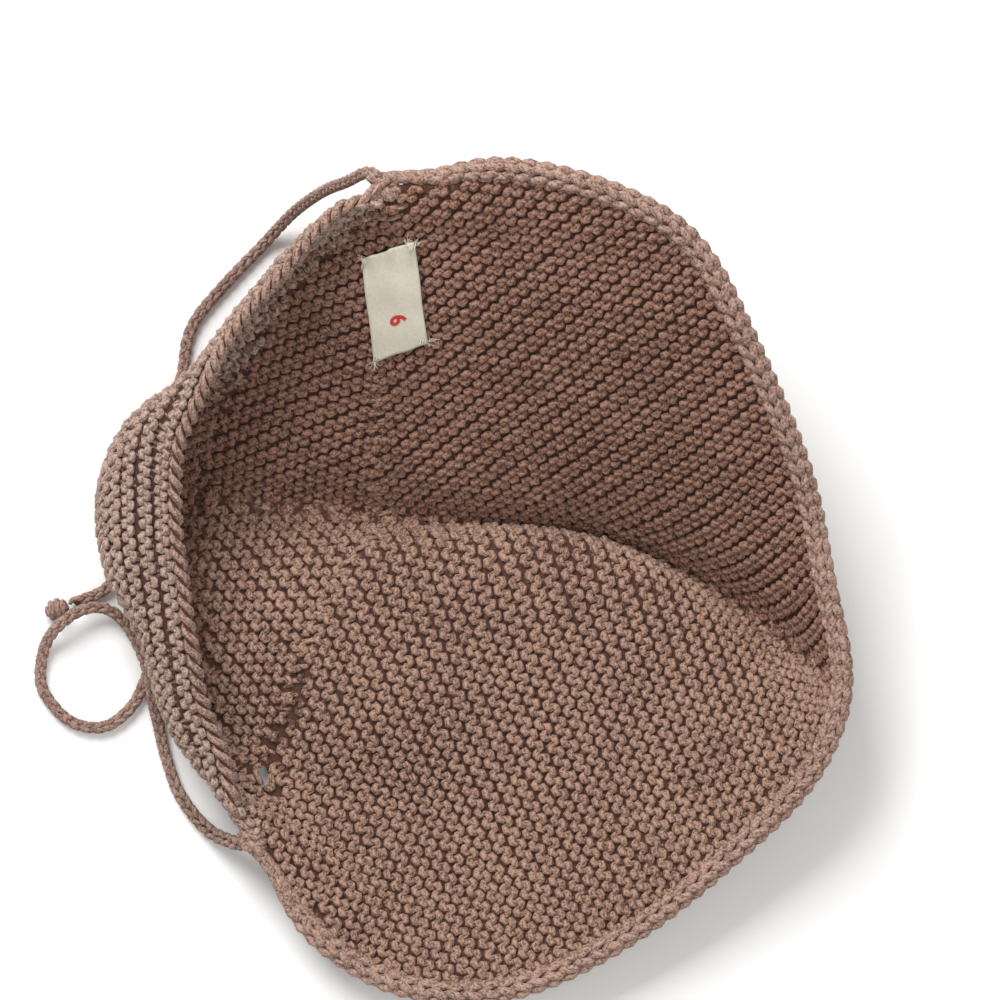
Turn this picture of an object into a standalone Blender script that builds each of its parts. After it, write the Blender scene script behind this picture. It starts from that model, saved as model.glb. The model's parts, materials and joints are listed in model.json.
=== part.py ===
"""A garter-knit baby bonnet with two ties, lying open on a flat surface. Metres, +Z up."""

import bmesh
import bpy
import numpy as np
from mathutils import Matrix, Vector
from mathutils.bvhtree import BVHTree

# Overall sizes of the bonnet as it lies, without its ties
BONNET_WIDTH = 0.1766
BONNET_LENGTH = 0.1970
BONNET_HEIGHT = 0.0670

# How far the back bulges past the neck rim, and how far the lower half is pushed up over the middle fold
BACK_BULGE = 0.0154
FOLD_SHIFT = 0.0300

# The knitted wall, its edgings and the gap between neighbouring pieces
WALL = 0.0034
CLEARANCE = 0.0003
FACE_EDGING_WIDTH = 0.0062
FACE_EDGING_THICKNESS = 0.0050
NECK_EDGING_WIDTH = 0.0038
NECK_EDGING_THICKNESS = 0.0036
EYELET_WIDTH = 0.0034
EYELET_LENGTH = 0.0060

# The woven label. Its place is in shares of the bonnet's width and length, and its length is measured up a slope whose
# plan is this share of it.
LABEL_WIDTH = 0.0127
LABEL_LENGTH = 0.0266
LABEL_THICKNESS = 0.0005
LABEL_PLACE = (-0.115, 0.324)
LABEL_TURN = 0.11
LABEL_SLOPE = 0.84

# The knitted cords
TIE_DIAMETER = 0.0030
KNOT_LENGTH = 0.0058
KNOT_WIDTH = 0.0054
KNOT_HEIGHT = 0.0042
TIE_STEP = 2.1

# How finely each wall is divided, from corner to corner and across
LONG_STEPS = 46
BACK_STEPS = 12
FRONT_STEPS = 15
EDGING_STEPS = 64
EDGING_SIDES = 8
KNOT_SIDES = 10
LABEL_STEPS = (6, 10)

# A section's line is first drawn with this many points, and the seam is at this one of its control points
FINE = 240
SEAM_POINT = 5

# The wall thins to this at the chin corners, over this share of the way from the middle
CORNER_WALL = 0.0014
CORNER_SHARE = 0.14

# The inner half of the wall is squeezed by this share in the middle fold, over about this share of the way
FOLD_SQUEEZE = 0.80
FOLD_SHARE = 0.06

# The cloth's facing is evened out this many times, and its outer face is flat where it is this near to the floor
SMOOTHING = 3
RESTING = 0.0001

# Past these places the cloth faces as it does there, and the neck edging stops
CORNER_HOLD = 0.92
NECK_EDGING_END = 0.95
CLOTH_END = 0.975

# The cloth runs from corner to corner in sections. Each row is one section, at a share of the way from the middle
# fold, 0, to the lower corner, -1, or the upper corner, 1. x, y and z are shares of the bonnet's width, length and
# height, bulge is a share of BACK_BULGE, shift a share of FOLD_SHIFT, and seam a share of the section's own length.
SECTION_COLUMNS = "place neck_x neck_y neck_z face_x face_y face_z heel_z mid_z brow_z bulge shift seam".split()
SECTIONS = np.array([
    (-1.000, -0.301, -0.289, 0.180, -0.288, -0.308, 0.178, 0.178, 0.177, 0.178, 0.00, 0.00, 0.500),
    (-0.875, -0.333, -0.243, 0.231, -0.216, -0.394, 0.134, 0.150, 0.090, 0.104, 0.03, 0.25, 0.300),
    (-0.750, -0.350, -0.193, 0.276, -0.115, -0.453, 0.104, 0.060, 0.030, 0.060, 0.31, 0.22, 0.220),
    (-0.625, -0.371, -0.144, 0.313, 0.007, -0.464, 0.112, 0.045, -0.020, 0.040, 0.43, 0.32, 0.210),
    (-0.500, -0.382, -0.096, 0.343, 0.123, -0.427, 0.142, 0.070, 0.050, 0.070, 0.51, 0.51, 0.210),
    (-0.375, -0.391, -0.045, 0.373, 0.228, -0.366, 0.187, 0.080, 0.125, 0.120, 0.62, 0.71, 0.220),
    (-0.250, -0.398, 0.006, 0.396, 0.321, -0.295, 0.239, 0.075, 0.179, 0.175, 0.88, 0.84, 0.235),
    (-0.125, -0.405, 0.056, 0.418, 0.406, -0.216, 0.291, 0.045, 0.179, 0.179, 0.99, 1.00, 0.270),
    (0.000, -0.406, 0.107, 0.448, 0.452, -0.115, 0.343, -0.030, -0.012, 0.050, 0.99, 0.52, 0.310),
    (0.125, -0.400, 0.162, 0.493, 0.430, -0.008, 0.418, 0.097, 0.142, 0.216, 0.70, 0.20, 0.305),
    (0.250, -0.373, 0.212, 0.552, 0.402, 0.099, 0.530, 0.209, 0.313, 0.418, 0.27, 0.02, 0.300),
    (0.375, -0.343, 0.262, 0.619, 0.358, 0.202, 0.672, 0.336, 0.478, 0.604, 0.06, -0.04, 0.290),
    (0.500, -0.308, 0.307, 0.694, 0.306, 0.299, 0.821, 0.463, 0.627, 0.761, 0.03, -0.08, 0.285),
    (0.625, -0.268, 0.347, 0.761, 0.242, 0.388, 0.918, 0.575, 0.731, 0.858, 0.03, -0.15, 0.290),
    (0.750, -0.227, 0.388, 0.813, 0.136, 0.438, 0.955, 0.672, 0.806, 0.910, 0.03, -0.14, 0.300),
    (0.875, -0.181, 0.424, 0.851, 0.018, 0.458, 0.933, 0.810, 0.851, 0.910, 0.00, -0.15, 0.330),
    (1.000, -0.121, 0.441, 0.860, -0.113, 0.453, 0.866, 0.859, 0.862, 0.866, 0.00, 0.00, 0.500),
])

# The wall between the neck rim and the floor, from the rim down: how far out it stands, as a share of the bulge,
# and how high, as a share of the way from the heel up to the rim.
BACK_WALL = ((0.55, 0.95), (1.00, 0.52), (0.62, 0.09))
HEEL, MID, BROW = 0.05, 0.62, 0.88

# Past this place the wall under the rim leans in towards the corner, until the heel is this much further in
LEAN_START = 0.70
LEAN = 0.20
FOLD_LEAN = 1.6

# The eyelet at the lower end of the seam, as a share of the way from the middle fold
EYELET_PLACE = -0.69

# Where each tie lies, from the corner to its knot: x and y as shares of the bonnet's width and length, then how high
# it hangs above the floor, as a share of the bonnet's height, and how many diameters it is lifted by a cord under it.
UPPER_TIE_ROUTE = [
    (-0.143, 0.466, 0.776, 0.00),
    (-0.169, 0.462, 0.642, 0.00),
    (-0.196, 0.455, 0.463, 0.00),
    (-0.228, 0.442, 0.254, 0.00),
    (-0.261, 0.419, 0.075, 0.00),
    (-0.290, 0.392, 0.000, 0.00),
    (-0.324, 0.361, 0.000, 0.00),
    (-0.353, 0.333, 0.000, 0.00),
    (-0.375, 0.308, 0.000, 0.00),
    (-0.388, 0.280, 0.000, 0.00),
    (-0.392, 0.252, 0.000, 0.00),
    (-0.401, 0.224, 0.000, 0.00),
    (-0.423, 0.198, 0.000, 0.00),
    (-0.449, 0.173, 0.000, 0.00),
    (-0.470, 0.142, 0.000, 0.00),
    (-0.480, 0.110, 0.000, 0.00),
    (-0.484, 0.077, 0.000, 0.00),
    (-0.483, 0.043, 0.000, 0.00),
    (-0.480, 0.018, 0.000, 0.00),
    (-0.488, -0.003, 0.000, 0.00),
    (-0.504, -0.014, 0.000, 0.00),
    (-0.522, -0.020, 0.000, 0.00),
    (-0.540, -0.026, 0.000, 0.00),
]
LOWER_TIE_ROUTE = [
    (-0.317, -0.303, 0.127, 0.00),
    (-0.334, -0.300, 0.075, 0.00),
    (-0.352, -0.294, 0.022, 0.00),
    (-0.370, -0.281, 0.000, 0.00),
    (-0.385, -0.264, 0.000, 0.00),
    (-0.400, -0.243, 0.000, 0.00),
    (-0.411, -0.217, 0.000, 0.00),
    (-0.419, -0.191, 0.000, 0.00),
    (-0.425, -0.166, 0.000, 0.20),
    (-0.432, -0.137, 0.000, 0.80),
    (-0.436, -0.110, 0.000, 1.15),
    (-0.446, -0.084, 0.000, 0.80),
    (-0.459, -0.060, 0.000, 0.40),
    (-0.479, -0.038, 0.000, 0.45),
    (-0.503, -0.029, 0.000, 0.95),
    (-0.530, -0.035, 0.000, 1.30),
    (-0.553, -0.050, 0.000, 1.25),
    (-0.570, -0.070, 0.000, 0.50),
    (-0.578, -0.096, 0.000, 0.05),
    (-0.577, -0.121, 0.000, 0.00),
    (-0.563, -0.143, 0.000, 0.00),
    (-0.544, -0.160, 0.000, 0.00),
    (-0.518, -0.169, 0.000, 0.00),
    (-0.493, -0.168, 0.000, 0.00),
    (-0.470, -0.155, 0.000, 0.00),
    (-0.454, -0.138, 0.000, 0.00),
    (-0.445, -0.120, 0.000, 0.00),
    (-0.436, -0.103, 0.000, 0.00),
    (-0.427, -0.086, 0.000, 0.00),
    (-0.419, -0.070, 0.000, 0.00),
]


def clear_scene():
    for old in list(bpy.data.objects):
        bpy.data.objects.remove(old)


def spline(knots, values, at):
    """The natural cubic spline through values at the knots, read at other places."""
    knots, values, at = np.asarray(knots), np.asarray(values), np.asarray(at)
    gap = np.diff(knots)
    count = len(knots)
    system = np.eye(count)
    bend = np.zeros((count, values.shape[1]))
    for i in range(1, count - 1):
        system[i, i - 1:i + 2] = gap[i - 1], 2 * (gap[i - 1] + gap[i]), gap[i]
        rise = (values[i + 1] - values[i]) / gap[i] - (values[i] - values[i - 1]) / gap[i - 1]
        bend[i] = 6 * rise
    curve = np.linalg.solve(system, bend)
    i = np.clip(np.searchsorted(knots, at) - 1, 0, count - 2)
    before = ((at - knots[i]) / gap[i])[:, None]
    after = 1 - before
    square = (gap[i] ** 2 / 6)[:, None]
    straight = after * values[i] + before * values[i + 1]
    return straight + square * ((after ** 3 - after) * curve[i] + (before ** 3 - before) * curve[i + 1])


def along(points):
    """The distance along a line of points, from its start to each point."""
    return np.concatenate([[0], np.cumsum(np.linalg.norm(np.diff(points, axis=0), axis=1))])


def lift(share):
    """The height of the middle of the wall. It never comes nearer to the floor than half its thickness."""
    return np.maximum(WALL / 2 + share * (BONNET_HEIGHT - WALL), WALL / 2)


def section_controls(row, outwards):
    """The points that one section passes through, from the neck rim to the face edge."""
    neck = np.array([row["neck_x"] * BONNET_WIDTH, row["neck_y"] * BONNET_LENGTH])
    face = np.array([row["face_x"] * BONNET_WIDTH, row["face_y"] * BONNET_LENGTH])
    chord = face - neck
    sideways = np.array([-chord[1], chord[0]]) / np.linalg.norm(chord)

    def on_floor_plan(share):
        bow = np.sin(np.pi * share ** FOLD_LEAN)
        return neck + chord * share + sideways * row["shift"] * FOLD_SHIFT * bow

    heel_z, mid_z, seam = row["heel_z"], row["mid_z"], row["seam"]
    lean = LEAN * max(0, (abs(row["place"]) - LEAN_START) / (1 - LEAN_START))
    heel = HEEL + lean
    reach = (seam - heel) / (MID - heel)
    points = [(*neck, row["neck_z"])]
    for out, up in BACK_WALL:
        spot = neck + outwards * out * row["bulge"] * BACK_BULGE + chord * lean * (1 - up)
        points.append((*spot, heel_z + up * (row["neck_z"] - heel_z)))
    points.append((*on_floor_plan(heel), heel_z))
    points.append((*on_floor_plan(seam), heel_z + reach * (mid_z - heel_z)))
    points.append((*on_floor_plan(MID), mid_z))
    points.append((*on_floor_plan(BROW), row["brow_z"]))
    points.append((*face, row["face_z"]))
    return np.array(points)


def sections(places):
    """For each place, the section's control points, with heights still as shares."""
    table = spline(SECTIONS[:, 0], SECTIONS, places)
    rows = [dict(zip(SECTION_COLUMNS, line)) for line in table]
    neck = np.array([(r["neck_x"] * BONNET_WIDTH, r["neck_y"] * BONNET_LENGTH) for r in rows])
    run = np.gradient(neck, places, axis=0)
    outwards = np.stack([-run[:, 1], run[:, 0]], 1)
    outwards /= np.linalg.norm(outwards, axis=1)[:, None]
    return [section_controls(row, out) for row, out in zip(rows, outwards)]


def cloth_lines(places, back_steps, front_steps):
    """The middle of the wall, as two grids of points: the back panel's and the front panel's."""
    back, front = [], []
    for place, controls in zip(places, sections(places)):
        knots = along(controls * (1, 1, BONNET_HEIGHT))
        dense_at = np.linspace(0, knots[-1], FINE)
        dense = spline(knots, controls, dense_at)
        dense[:, 2] = lift(dense[:, 2])
        length = along(dense)
        seam = np.interp(knots[SEAM_POINT], dense_at, length)
        opening = CLEARANCE + EYELET_WIDTH * eyelet(place)
        for lines, start, end, steps in (
            (back, 0, seam - opening / 2, back_steps),
            (front, seam + opening / 2, length[-1], front_steps),
        ):
            at = np.linspace(start, end, steps + 1)
            lines.append(np.stack([np.interp(at, length, dense[:, k]) for k in range(3)], 1))
    return np.array(back), np.array(front)


def eyelet(place):
    """How wide the eyelet is at this place, from 0 to 1."""
    half = EYELET_LENGTH / BONNET_LENGTH
    return max(0.0, 1 - ((place - EYELET_PLACE) / half) ** 2) ** 0.5


def wall_places():
    """Places along the bonnet, closer together at the middle fold, where the cloth bends most."""
    even = np.linspace(-1, 1, LONG_STEPS + 1)
    return CLOTH_END * np.sign(even) * (0.6 * np.abs(even) + 0.4 * even ** 2)


def material(name, colour, roughness):
    made = bpy.data.materials.new(name)
    made.use_nodes = True
    shader = made.node_tree.nodes["Principled BSDF"]
    shader.inputs["Base Color"].default_value = (*colour, 1)
    shader.inputs["Roughness"].default_value = roughness
    shader.inputs["Metallic"].default_value = 0
    return made


def add(name, form, surface):
    mesh = bpy.data.meshes.new(name)
    form.to_mesh(mesh)
    form.free()
    mesh.shade_smooth()
    piece = bpy.data.objects.new(name, mesh)
    bpy.context.scene.collection.objects.link(piece)
    mesh.materials.append(surface)
    return piece


def unit(vectors):
    return vectors / np.linalg.norm(vectors, axis=-1, keepdims=True)


def facing(grid, seam, places):
    """The way into the hollow, square to the cloth, at each point of a grid. It turns slowly from point to point,
    and both sides of the seam share it, so that the two walls meet edge to edge."""
    normal = unit(np.cross(np.gradient(grid, axis=1), np.gradient(grid, axis=0)))
    held = np.flatnonzero(np.abs(places) <= CORNER_HOLD)
    for tip, last in ((range(held[0]), held[0]), (range(held[-1] + 1, len(places)), held[-1])):
        middle = unit(normal[last].mean(0))
        for i in tip:
            share = (abs(places[i]) - CORNER_HOLD) / (1 - CORNER_HOLD)
            normal[i] = unit(normal[last] * (1 - share) + middle * share)
    for _ in range(SMOOTHING):
        normal[:, seam] = normal[:, seam + 1] = (normal[:, seam] + normal[:, seam + 1]) / 2
        for axis in (0, 1):
            padded = np.pad(normal, [(1, 1) if k == axis else (0, 0) for k in range(3)], mode="edge")
            before = np.take(padded, range(0, padded.shape[axis] - 2), axis)
            after = np.take(padded, range(2, padded.shape[axis]), axis)
            normal = unit(before + 2 * normal + after)
    normal[:, seam] = normal[:, seam + 1] = unit(normal[:, seam] + normal[:, seam + 1])
    return normal


def corner_taper(places):
    """1 along the bonnet, easing to 0 at both chin corners."""
    share = np.clip((1 - np.abs(places)) / CORNER_SHARE, 0, 1)
    return share * share * (3 - 2 * share)


def skins(grid, inwards, places):
    """The inner and the outer face of a wall. Where the cloth rests, its outer face is flat."""
    half = (CORNER_WALL + (WALL - CORNER_WALL) * corner_taper(places))[:, None, None] / 2
    squeeze = 1 - FOLD_SQUEEZE * np.exp(-(places / FOLD_SHARE) ** 2)
    inner = grid + inwards * half * squeeze[:, None, None]
    outer = grid - inwards * half
    inner[:, :, 2] = np.maximum(inner[:, :, 2], 0)
    outer[:, :, 2] = np.where(grid[:, :, 2] < WALL / 2 + RESTING, 0, np.maximum(outer[:, :, 2], 0))
    return inner, outer


def panel(name, grid, inwards, places, surface):
    """A knitted wall: the grid is its middle, and half its thickness lies to each side."""
    form = bmesh.new()
    inner, outer = [
        [[form.verts.new(point) for point in line] for line in skin] for skin in skins(grid, inwards, places)
    ]
    long, wide = len(grid) - 1, len(grid[0]) - 1
    for i in range(long):
        for j in range(wide):
            form.faces.new((inner[i][j], inner[i][j + 1], inner[i + 1][j + 1], inner[i + 1][j]))
            form.faces.new((outer[i][j], outer[i + 1][j], outer[i + 1][j + 1], outer[i][j + 1]))
        for j in (0, wide):
            form.faces.new((inner[i][j], inner[i + 1][j], outer[i + 1][j], outer[i][j]))
    for j in range(wide):
        for i in (0, long):
            form.faces.new((inner[i][j], inner[i][j + 1], outer[i][j + 1], outer[i][j]))
    bmesh.ops.recalc_face_normals(form, faces=form.faces)
    return add(name, form, surface)


def tube(form, middles, across, high):
    """Rings round the middles, each given by its half width and half height as vectors, with both ends closed."""
    turn = 2 * np.pi * (np.arange(EDGING_SIDES) + 0.5) / EDGING_SIDES
    rings = []
    for middle, wide, up in zip(middles, across, high):
        ring = middle + np.outer(np.cos(turn), wide) + np.outer(np.sin(turn), up)
        ring[:, 2] = np.maximum(ring[:, 2], 0)
        rings.append([form.verts.new(point) for point in ring])
    for low, top in zip(rings, rings[1:]):
        for i in range(EDGING_SIDES):
            j = (i + 1) % EDGING_SIDES
            form.faces.new((low[i], low[j], top[j], top[i]))
    form.faces.new(rings[0])
    form.faces.new(rings[-1])
    bmesh.ops.recalc_face_normals(form, faces=form.faces)


def edging(name, edge, beside, ups, places, width, thickness, surface):
    """A roll along an edge of the cloth, beyond it, which tapers to the tie's diameter at both corners."""
    run = unit(np.gradient(edge, axis=0))
    up = unit(ups - run * (ups * run).sum(1)[:, None])
    out = np.cross(run, up)
    out *= np.sign((out * (edge - beside)).sum(1))[:, None]
    taper = corner_taper(places)
    wide = (TIE_DIAMETER + (width - TIE_DIAMETER) * taper)[:, None]
    thick = (TIE_DIAMETER + (thickness - TIE_DIAMETER) * taper)[:, None]
    middles = edge + out * (CLEARANCE + wide / 2)
    form = bmesh.new()
    tube(form, middles, out * wide / 2, up * thick / 2)
    return add(name, form, surface), middles


def label(skin, surface):
    """A thin patch that lies on the inner face of the cloth, as a smooth sheet over whatever is under it."""
    long, wide = skin.shape[:2]
    corners = np.arange(long * wide).reshape(long, wide)
    squares = np.stack([corners[:-1, :-1], corners[:-1, 1:], corners[1:, 1:], corners[1:, :-1]], axis=-1)
    tree = BVHTree.FromPolygons(skin.reshape(-1, 3).tolist(), squares.reshape(-1, 4).tolist())
    turn = np.array([(np.cos(LABEL_TURN), np.sin(LABEL_TURN)), (-np.sin(LABEL_TURN), np.cos(LABEL_TURN))])
    middle = np.array(LABEL_PLACE) * (BONNET_WIDTH, BONNET_LENGTH)
    side, end = [np.linspace(-1, 1, steps + 1) for steps in LABEL_STEPS]
    hits, flat = [], []
    for v in end:
        for u in side:
            spot = middle + (u * LABEL_WIDTH / 2, v * LABEL_LENGTH * LABEL_SLOPE / 2) @ turn
            hit = tree.ray_cast(Vector((*spot, BONNET_HEIGHT * 2)), Vector((0, 0, -1)))[0]
            hits.append(hit)
            flat.append((1, u, v, u * u, u * v, v * v))
    hits, flat = np.array(hits), np.array(flat)
    smooth = flat @ np.linalg.lstsq(flat, hits[:, 2], rcond=None)[0]
    smooth += (hits[:, 2] - smooth).max()
    sheet = np.column_stack([hits[:, :2], smooth]).reshape(len(end), len(side), 3)
    normal = unit(np.cross(np.gradient(sheet, axis=1), np.gradient(sheet, axis=0)))
    form = bmesh.new()
    under, over = [
        [[form.verts.new(point) for point in line] for line in sheet + normal * away]
        for away in (CLEARANCE, CLEARANCE + LABEL_THICKNESS)
    ]
    for i in range(len(end) - 1):
        for j in range(len(side) - 1):
            for skin in (under, over):
                form.faces.new((skin[i][j], skin[i][j + 1], skin[i + 1][j + 1], skin[i + 1][j]))
        for j in (0, len(side) - 1):
            form.faces.new((under[i][j], under[i + 1][j], over[i + 1][j], over[i][j]))
    for j in range(len(side) - 1):
        for i in (0, len(end) - 1):
            form.faces.new((under[i][j], under[i][j + 1], over[i][j + 1], over[i][j]))
    bmesh.ops.recalc_face_normals(form, faces=form.faces)
    return add("size_label", form, surface)


def tie_line(start, run, route):
    """The middle of a cord: square out of the edging's end, then through its route, in even steps."""
    rows = np.array(route)
    spots = np.column_stack([
        rows[:, 0] * BONNET_WIDTH,
        rows[:, 1] * BONNET_LENGTH,
        TIE_DIAMETER * (0.5 + rows[:, 3]) + rows[:, 2] * BONNET_HEIGHT,
    ])
    stub = start + run * TIE_DIAMETER / 2
    knots = np.concatenate([[stub, stub + run * TIE_DIAMETER / 2], spots])
    at = along(knots)
    dense = spline(at, knots, np.linspace(0, at[-1], FINE * 2))
    dense[:, 2] = np.maximum(dense[:, 2], TIE_DIAMETER / 2)
    length = along(dense)
    steps = round(length[-1] / (TIE_DIAMETER * TIE_STEP))
    even = np.linspace(0, length[-1], steps + 1)
    return np.concatenate([[start], np.stack([np.interp(even, length, dense[:, k]) for k in range(3)], 1)])


def tie(name, line, surface):
    """The knitted cord, and the knot just past its free end."""
    curve = bpy.data.curves.new(name, "CURVE")
    curve.dimensions = "3D"
    curve.bevel_depth = TIE_DIAMETER / 2
    curve.bevel_resolution = 2
    curve.use_fill_caps = True
    path = curve.splines.new("POLY")
    path.points.add(len(line) - 1)
    for point, spot in zip(path.points, line):
        point.co = (*spot, 1)
    curve.materials.append(surface)
    cord = bpy.data.objects.new(name, curve)
    bpy.context.scene.collection.objects.link(cord)
    form = bmesh.new()
    bmesh.ops.create_uvsphere(form, u_segments=KNOT_SIDES, v_segments=KNOT_SIDES, radius=0.5)
    heading = line[-1] - line[-2]
    turn = Matrix.Rotation(np.arctan2(heading[1], heading[0]), 4, "Z")
    middle = line[-1] + unit(heading * (1, 1, 0)) * (CLEARANCE + KNOT_LENGTH / 2)
    middle[2] = KNOT_HEIGHT / 2
    place = Matrix.Translation(middle) @ turn @ Matrix.Diagonal((KNOT_LENGTH, KNOT_WIDTH, KNOT_HEIGHT, 1))
    form.transform(place)
    add(name + "_knot", form, surface)
    return cord


def centre(pieces):
    """Moves everything in plan, so that the middle of the bonnet without its ties is at the origin."""
    cloth = [np.array([point.co for point in piece.data.vertices]) for piece in pieces]
    spots = np.concatenate(cloth)
    middle = (spots.min(0) + spots.max(0)) / 2
    shift = Matrix.Translation((-middle[0], -middle[1], 0))
    for piece in bpy.data.objects:
        piece.data.transform(shift)


def build():
    clear_scene()
    knit = material("knit", (0.30, 0.21, 0.17), 0.95)
    roll = material("plaited edge", (0.36, 0.25, 0.21), 0.95)
    woven = material("woven label", (0.61, 0.57, 0.45), 0.8)
    corded = material("knitted cord", (0.27, 0.19, 0.16), 0.95)
    places = wall_places()
    back, front = cloth_lines(places, BACK_STEPS, FRONT_STEPS)
    joined = np.concatenate([back, front], axis=1)
    inwards = facing(joined, BACK_STEPS, places)
    pieces = [
        panel("back_panel", back, inwards[:, :BACK_STEPS + 1], places, knit),
        panel("front_panel", front, inwards[:, BACK_STEPS + 1:], places, knit),
        label(skins(joined, inwards, places)[0], woven),
    ]
    even = np.linspace(-1, 1, EDGING_STEPS + 1)
    back, front = cloth_lines(even, BACK_STEPS, FRONT_STEPS)
    ups = [
        np.stack([np.interp(even, places, inwards[:, column, k]) for k in range(3)], 1)
        for column in (0, -1)
    ]
    kept = np.abs(even) <= NECK_EDGING_END
    neck, _ = edging("neck_edging", back[kept, 0], back[kept, 1], ups[0][kept], even[kept],
                     NECK_EDGING_WIDTH, NECK_EDGING_THICKNESS, roll)
    face, rolled = edging("face_edging", front[:, -1], front[:, -2], ups[1], even,
                          FACE_EDGING_WIDTH, FACE_EDGING_THICKNESS, roll)
    pieces += [neck, face]
    for name, end, before, route in (
        ("upper_tie", -1, -2, UPPER_TIE_ROUTE),
        ("lower_tie", 0, 1, LOWER_TIE_ROUTE),
    ):
        run = unit(rolled[end] - rolled[before])
        tie(name, tie_line(rolled[end] + run * CLEARANCE, run, route), corded)
    centre(pieces)


build()
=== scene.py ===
"""A garter-knit baby bonnet with two ties, lying open on a pale surface. Metres, +Z up."""

import json
import math

import bmesh
import bpy
import numpy as np
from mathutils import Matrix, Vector
from mathutils.bvhtree import BVHTree

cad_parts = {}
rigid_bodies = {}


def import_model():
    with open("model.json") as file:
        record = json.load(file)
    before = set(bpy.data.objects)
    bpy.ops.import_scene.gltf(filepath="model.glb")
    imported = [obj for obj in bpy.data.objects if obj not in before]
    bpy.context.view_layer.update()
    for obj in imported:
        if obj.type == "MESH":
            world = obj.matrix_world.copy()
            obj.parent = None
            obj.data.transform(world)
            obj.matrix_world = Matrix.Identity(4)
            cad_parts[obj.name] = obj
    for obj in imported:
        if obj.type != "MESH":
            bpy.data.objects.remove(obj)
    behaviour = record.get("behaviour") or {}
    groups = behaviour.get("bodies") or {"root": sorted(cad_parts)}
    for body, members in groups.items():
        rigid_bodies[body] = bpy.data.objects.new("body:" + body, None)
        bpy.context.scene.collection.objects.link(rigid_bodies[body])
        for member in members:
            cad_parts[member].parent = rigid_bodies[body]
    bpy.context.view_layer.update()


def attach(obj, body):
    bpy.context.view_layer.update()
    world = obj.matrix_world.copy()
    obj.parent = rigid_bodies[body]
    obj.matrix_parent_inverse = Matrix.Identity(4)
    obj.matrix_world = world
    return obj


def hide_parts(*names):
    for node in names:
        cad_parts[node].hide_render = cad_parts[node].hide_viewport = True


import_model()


# Floor, light and camera
#
# A plain pale paper surface under soft window light from the upper left. The camera looks straight down on the
# bonnet from two metres, with a lens long enough to frame it as the photograph does.

def clear_selection():
    for piece in bpy.context.view_layer.objects:
        piece.select_set(False)


class Value:
    """A socket or number of a material's maths, with the plain operators on it."""

    def __init__(self, tree, socket):
        self.tree, self.socket = tree, socket

    def _maths(self, operation, *inputs):
        node = self.tree.nodes.new("ShaderNodeMath")
        node.operation = operation
        for slot, given in zip(node.inputs, inputs):
            self._feed(slot, given)
        return Value(self.tree, node.outputs[0])

    def _feed(self, slot, given):
        if isinstance(given, Value):
            self.tree.links.new(given.socket, slot)
        else:
            slot.default_value = given

    def __add__(self, other): return self._maths("ADD", self, other)
    def __radd__(self, other): return self._maths("ADD", other, self)
    def __sub__(self, other): return self._maths("SUBTRACT", self, other)
    def __rsub__(self, other): return self._maths("SUBTRACT", other, self)
    def __mul__(self, other): return self._maths("MULTIPLY", self, other)
    def __rmul__(self, other): return self._maths("MULTIPLY", other, self)
    def sine(self): return self._maths("SINE", self)
    def power(self, other): return self._maths("POWER", self, other)

    def between(self, low, high):
        """How far the value is from low to high, kept within 0 and 1."""
        node = self.tree.nodes.new("ShaderNodeMapRange")
        node.inputs["From Min"].default_value, node.inputs["From Max"].default_value = low, high
        self._feed(node.inputs["Value"], self)
        return Value(self.tree, node.outputs["Result"])

    def node(self, kind, output, settings=None, **inputs):
        """Any other node, with its inputs by name, underscores standing for spaces."""
        made = self.tree.nodes.new(kind)
        for key, setting in (settings or {}).items():
            setattr(made, key, setting)
        for key, given in inputs.items():
            self._feed(made.inputs[key.replace("_", " ")], given)
        return Value(self.tree, made.outputs[output])


def new_material(name, roughness, sheen=0.0, sheen_tint=(1, 1, 1)):
    """A material, with its shader and a Value to start its maths from."""
    made = bpy.data.materials.new(name)
    made.use_nodes = True
    shader = made.node_tree.nodes["Principled BSDF"]
    shader.inputs["Roughness"].default_value = roughness
    shader.inputs["Sheen Weight"].default_value = sheen
    shader.inputs["Sheen Roughness"].default_value = 0.5
    shader.inputs["Sheen Tint"].default_value = (*sheen_tint, 1)
    shader.inputs["Specular IOR Level"].default_value = 0.2
    return made, shader, Value(made.node_tree, None)


def blend(start, share, low, high):
    """One colour turning into another."""
    node = start.tree.nodes.new("ShaderNodeMix")
    node.data_type = "RGBA"
    start._feed(node.inputs["Factor"], share)
    for slot, colour in ((node.inputs["A"], low), (node.inputs["B"], high)):
        if isinstance(colour, Value):
            start.tree.links.new(colour.socket, slot)
        else:
            slot.default_value = (*colour, 1)
    return Value(start.tree, [out for out in node.outputs if out.type == "RGBA"][0])


def noise(start, place, scale, detail=2.0, roughness=0.5):
    return start.node("ShaderNodeTexNoise", "Fac", Vector=place, Scale=scale, Detail=detail, Roughness=roughness)


def finish_surface(shader, start, colour, height, strength, distance, roughness=None):
    """Joins a colour and a raised pattern to the shader."""
    links = start.tree.links
    if isinstance(colour, Value):
        links.new(colour.socket, shader.inputs["Base Color"])
    else:
        shader.inputs["Base Color"].default_value = (*colour, 1)
    raised = start.node("ShaderNodeBump", "Normal", Height=height, Strength=strength, Distance=distance)
    links.new(raised.socket, shader.inputs["Normal"])
    if roughness is not None:
        links.new(roughness.socket, shader.inputs["Roughness"])


paper, shader, start = new_material("pale paper", 0.9)
grain = noise(start, start.node("ShaderNodeTexCoord", "Object"), 900.0)
finish_surface(shader, start, (0.93, 0.93, 0.925), grain, 0.05, 0.0002)

clear_selection()
bpy.ops.mesh.primitive_plane_add(size=6, location=(0, 0, 0))
floor = bpy.context.object
floor.name = "floor"
floor.data.materials.append(paper)

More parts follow.
